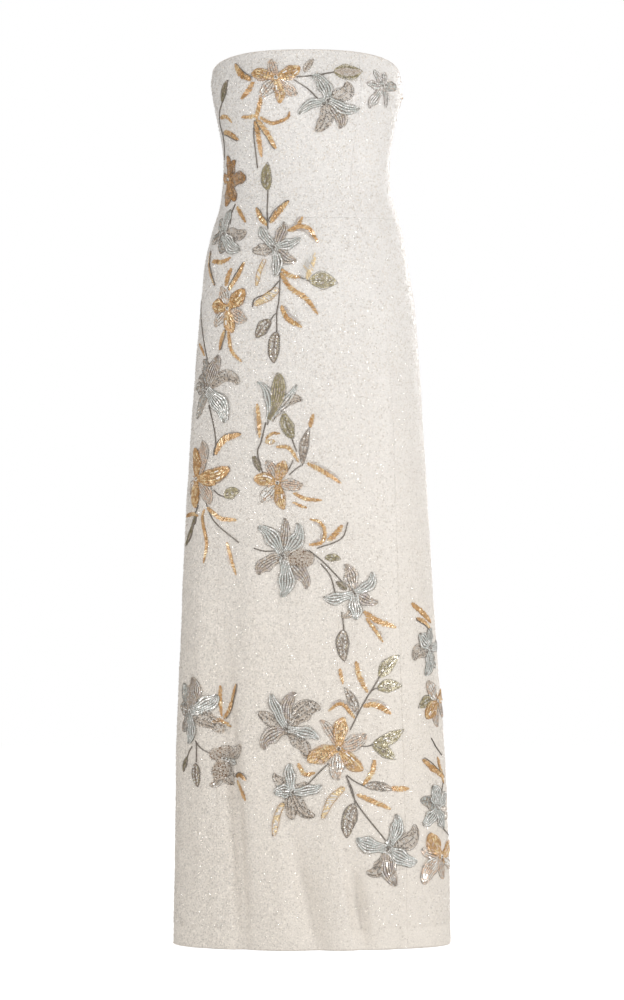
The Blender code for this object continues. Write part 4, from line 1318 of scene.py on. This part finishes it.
def ground_sequins(panel, part, materials):
    low = WAIST_SEAM if part == "bodice" else HEM + EDGE_MARGIN
    high = NECK_FRONT - EDGE_MARGIN if part == "bodice" else WAIST_SEAM
    pitch = BACK_PITCH if "back" in panel.name else GROUND_PITCH
    count = int((high - low) * WIDEST_PANEL / pitch**2)
    z = rng.uniform(low, high, count)
    left, right = panel_border(*panel.left, 1, z), panel_border(*panel.right, -1, z)
    width = arc_length(left, right, section_at(z))
    share = left + (right - left) * rng.uniform(0.0, 1.0, count)
    keep = rng.uniform(0, WIDEST_PANEL, count) < width
    keep &= z < neckline(share) - EDGE_MARGIN
    keep &= (z > HEM + HEM_DEPTH) | (rng.uniform(0, 1, count) < HEM_BAND_SHARE)
    keep &= ~((np.abs(np.abs(share) - 1.0) < ZIP_MARGIN) & (z > ZIP_MARGIN_LOW))
    share, z = share[keep], z[keep]
    count = len(z)
    work = BeadWork(f"sequins_{part}_{panel.name}")
    places = np.stack([arc_along(share, z), z], axis=1)
    side = panel.name.split("_")[-1]
    # painted light by side: the sequin tones' shares differ between the shaded left and the lit right
    slots = choose(GROUND_TONES, count, GROUND_MIX_WITH_PAINTED_LIGHT[side])
    mirrors = slots == BEAD_SLOT["mirror"]
    size = rng.uniform(*SEQUIN_SIZES, count) * np.where(mirrors, MIRROR_SIZE, 1.0)
    turn = rng.uniform(0, 2 * math.pi, count)
    tip = rng.normal(0, GROUND_TILT[side], count)
    sizes = (size, size * DISC_OVAL, np.where(mirrors, MIRROR_RISE, SEQUIN_RISE))
    work.add("sequin", slots, places, turn, sizes, SEQUIN_LIFT, tip)
    return work.make(materials)


def edge_beads(materials):
    """One row of small beads along the top edge and one along the hem."""
    work = BeadWork("edge_beads")
    share = np.linspace(-0.985, 0.985, 1500)
    for z, size in ((neckline(share) - 0.9, 1.7), (np.full(share.shape, HEM + 1.2), 1.5)):
        path = np.stack([arc_along(share, z), z], axis=1)
        places, turn, _ = walk(path, size * EDGE_BEAD_SPREAD)
        slots = choose(EDGE_BEAD_TONES, len(places), EDGE_BEAD_MIX)
        work.add("round", slots, places, turn, (size, size, EDGE_BEAD_HEIGHT), EDGE_BEAD_LIFT)
    return work.make(materials)


# ---------------------------------------------------------------- zip

TAPE_LOW, TAPE_WIDTH, TAPE_SPLIT = -345.0, 24.0, 0.4
TAPE_OUTER, TAPE_INNER = 2.2, 3.0  # how far inside the dress's outer face the tape's two faces are
TAPE_ROWS, TAPE_COLUMNS, TAPE_RIB = 90, 6, 0.08
TOOTH_PITCH, TOOTH_LENGTH, TOOTH_WIDTH, TOOTH_THICK, TOOTH_STEP = 1.5, 4.4, 1.0, 0.9, 0.5


def zip_tape():
    """The two woven halves of the tape, which meet behind the centre back seam."""
    high = NECK_BACK - NOTCH_DEPTH - GAP
    z = np.linspace(TAPE_LOW, high, TAPE_ROWS)[:, None]
    ribs = TAPE_RIB * np.cos(np.arange(TAPE_COLUMNS) * math.pi)[None, :]
    points, faces = [], []
    for side in (-1, 1):
        across = side * np.linspace(TAPE_SPLIT / 2, TAPE_WIDTH / 2, TAPE_COLUMNS)[None, :]
        share = beside(1.0, z + 0 * across, across)
        number = len(points) * share.size + np.arange(share.size).reshape(share.shape)
        points += [cloth(share, z, TAPE_OUTER + 0 * ribs), cloth(share, z, TAPE_INNER + ribs)]
        blocks = shell_faces(number, share.size)
        faces += [block if side > 0 else block[:, ::-1] for block in blocks]
    points = np.concatenate([block.reshape(-1, 3) for block in points])
    made = mesh_object("zip_woven_tape", points, faces, [tape_material()])
    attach(made, BODY)
    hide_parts("zip_tape")
    return made


def zip_coil(materials):
    """The coil's teeth on the inner face of the tape, from one half and the other by turns."""
    z = np.arange(TAPE_LOW + 6.0, NECK_BACK - NOTCH_DEPTH - GAP - 1.0, TOOTH_PITCH)
    half = np.interp(z, LADDER_Z, HALF_ROUND)
    aside = np.where(np.arange(len(z)) % 2, TOOTH_STEP, -TOOTH_STEP)
    places = np.stack([half + aside, z], axis=1)
    work = BeadWork("zip_coil")
    lift = -(TAPE_INNER + TOOTH_THICK)
    work.add("tube", "ivory", places, 0.0, (TOOTH_LENGTH, TOOTH_WIDTH, TOOTH_THICK), lift)
    return work.make(materials)


def zip_parts():
    metal = metal_material()
    for name in ("zip_slider", "zip_pull"):
        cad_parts[name].data.materials.clear()
        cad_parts[name].data.materials.append(metal)


# ---------------------------------------------------------------- stage, light and camera

FLOOR_HALF_M, FLOOR_BELOW_HEM_M = 7.0, 0.10
FLOOR_GLOW = 0.55  # only as the camera sees it, so that the paper shows as white
WORLD_COLOUR, WORLD_STRENGTH = (1.0, 0.985, 0.96, 1), 0.54

# Places, aims and sizes in metres, power in watts
Lamp = namedtuple("Lamp", "name place aim size power colour")
LAMPS = [
    Lamp("front", (2.3, -5.3, 0.7), (0, 0, -0.65), 2.2, 48.5, (1.0, 0.995, 0.985)),
    Lamp("sparkle", (1.2, -5.2, 1.6), (0, 0, -0.6), 0.4, 34, (1.0, 0.99, 0.98)),
    Lamp("side", (4.2, -2.4, -0.5), (0, 0, -0.7), 1.2, 62.5, (1.0, 0.995, 0.99)),
    Lamp("left", (-4.4, -2.3, -1.2), (0, 0, -1.0), 2.0, 51, (1.0, 0.985, 0.96)),
    Lamp("low", (-2.2, -2.2, -1.12), (-0.15, -0.1, -1.15), 0.42, 10.0, (1.0, 0.985, 0.97)),
    Lamp("back", (2.4, 4.4, 0.8), (0, 0, -0.6), 2.0, 84, (1.0, 1.0, 1.0)),
]


def paper_floor():
    mesh = bpy.data.meshes.new("floor")
    half, z = FLOOR_HALF_M, HEM * MM - FLOOR_BELOW_HEM_M
    corners = [(-half, -half, z), (half, -half, z), (half, half, z), (-half, half, z)]
    mesh.from_pydata(corners, [], [(0, 1, 2, 3)])
    paper, tree, shader = shader_material("floor_paper")
    seen = add_node(tree, "LightPath").outputs["Is Camera Ray"]
    glow = add_node(tree, "Math", {0: seen, 1: FLOOR_GLOW}, operation="MULTIPLY").outputs["Value"]
    set_inputs(tree, shader, {"Base Color": grey(0.85), "Roughness": 0.9})
    set_inputs(tree, shader, {"Emission Color": grey(1.0), "Emission Strength": glow})
    mesh.materials.append(paper)
    floor = in_scene(bpy.data.objects.new("floor", mesh))


def stage_and_light():
    scene = bpy.context.scene
    scene.view_settings.view_transform = "Standard"
    paper_floor()

    world = bpy.data.worlds.new("studio")
    scene.world = world
    world.use_nodes = True
    tree = world.node_tree
    tree.nodes.clear()
    seen = add_node(tree, "LightPath").outputs["Is Camera Ray"]
    lighting = add_node(tree, "Background", {"Color": WORLD_COLOUR, "Strength": WORLD_STRENGTH}).outputs[0]
    shown = add_node(tree, "Background", {"Color": grey(1.0), "Strength": 1.0}).outputs[0]
    chosen = add_node(tree, "MixShader", {"Fac": seen, 1: lighting, 2: shown}).outputs[0]
    add_node(tree, "OutputWorld", {0: chosen})

    for lamp in LAMPS:
        data = bpy.data.lights.new(lamp.name, "AREA")
        data.size = lamp.size
        data.energy = lamp.power
        data.color = lamp.colour
        made = in_scene(bpy.data.objects.new(lamp.name, data))
        made.location = lamp.place
        direction = Vector([a - b for a, b in zip(lamp.aim, lamp.place)])
        made.rotation_euler = direction.to_track_quat("-Z", "Y").to_euler()


def camera():
    data = bpy.data.cameras.new("camera")
    data.sensor_fit = "AUTO"
    data.sensor_width = SENSOR_M * 1000
    data.lens = SENSOR_M * 1000 * CAMERA_AWAY / (SEEN_SCALE * PICTURE_HEIGHT)
    data.clip_end = FARTHEST_SEEN_M
    made = in_scene(bpy.data.objects.new("camera", data))
    made.location = (CAMERA_X * MM, -CAMERA_AWAY * MM, CAMERA_Z * MM)
    made.rotation_euler = (math.pi / 2, 0, 0)
    bpy.context.scene.camera = made


def main():
    camera()
    stage_and_light()
    beads = bead_materials()
    on_panels = [ground_material(), backing_material()]
    for part in ("bodice", "skirt"):
        for panel in PANELS:
            shell, cut = panel_shell(panel, part, on_panels)
            sequins = ground_sequins(panel, part, beads)
    edge_beads(beads)
    beadwork(beads)
    tape = zip_tape()
    zip_coil(beads)
    zip_parts()


main()
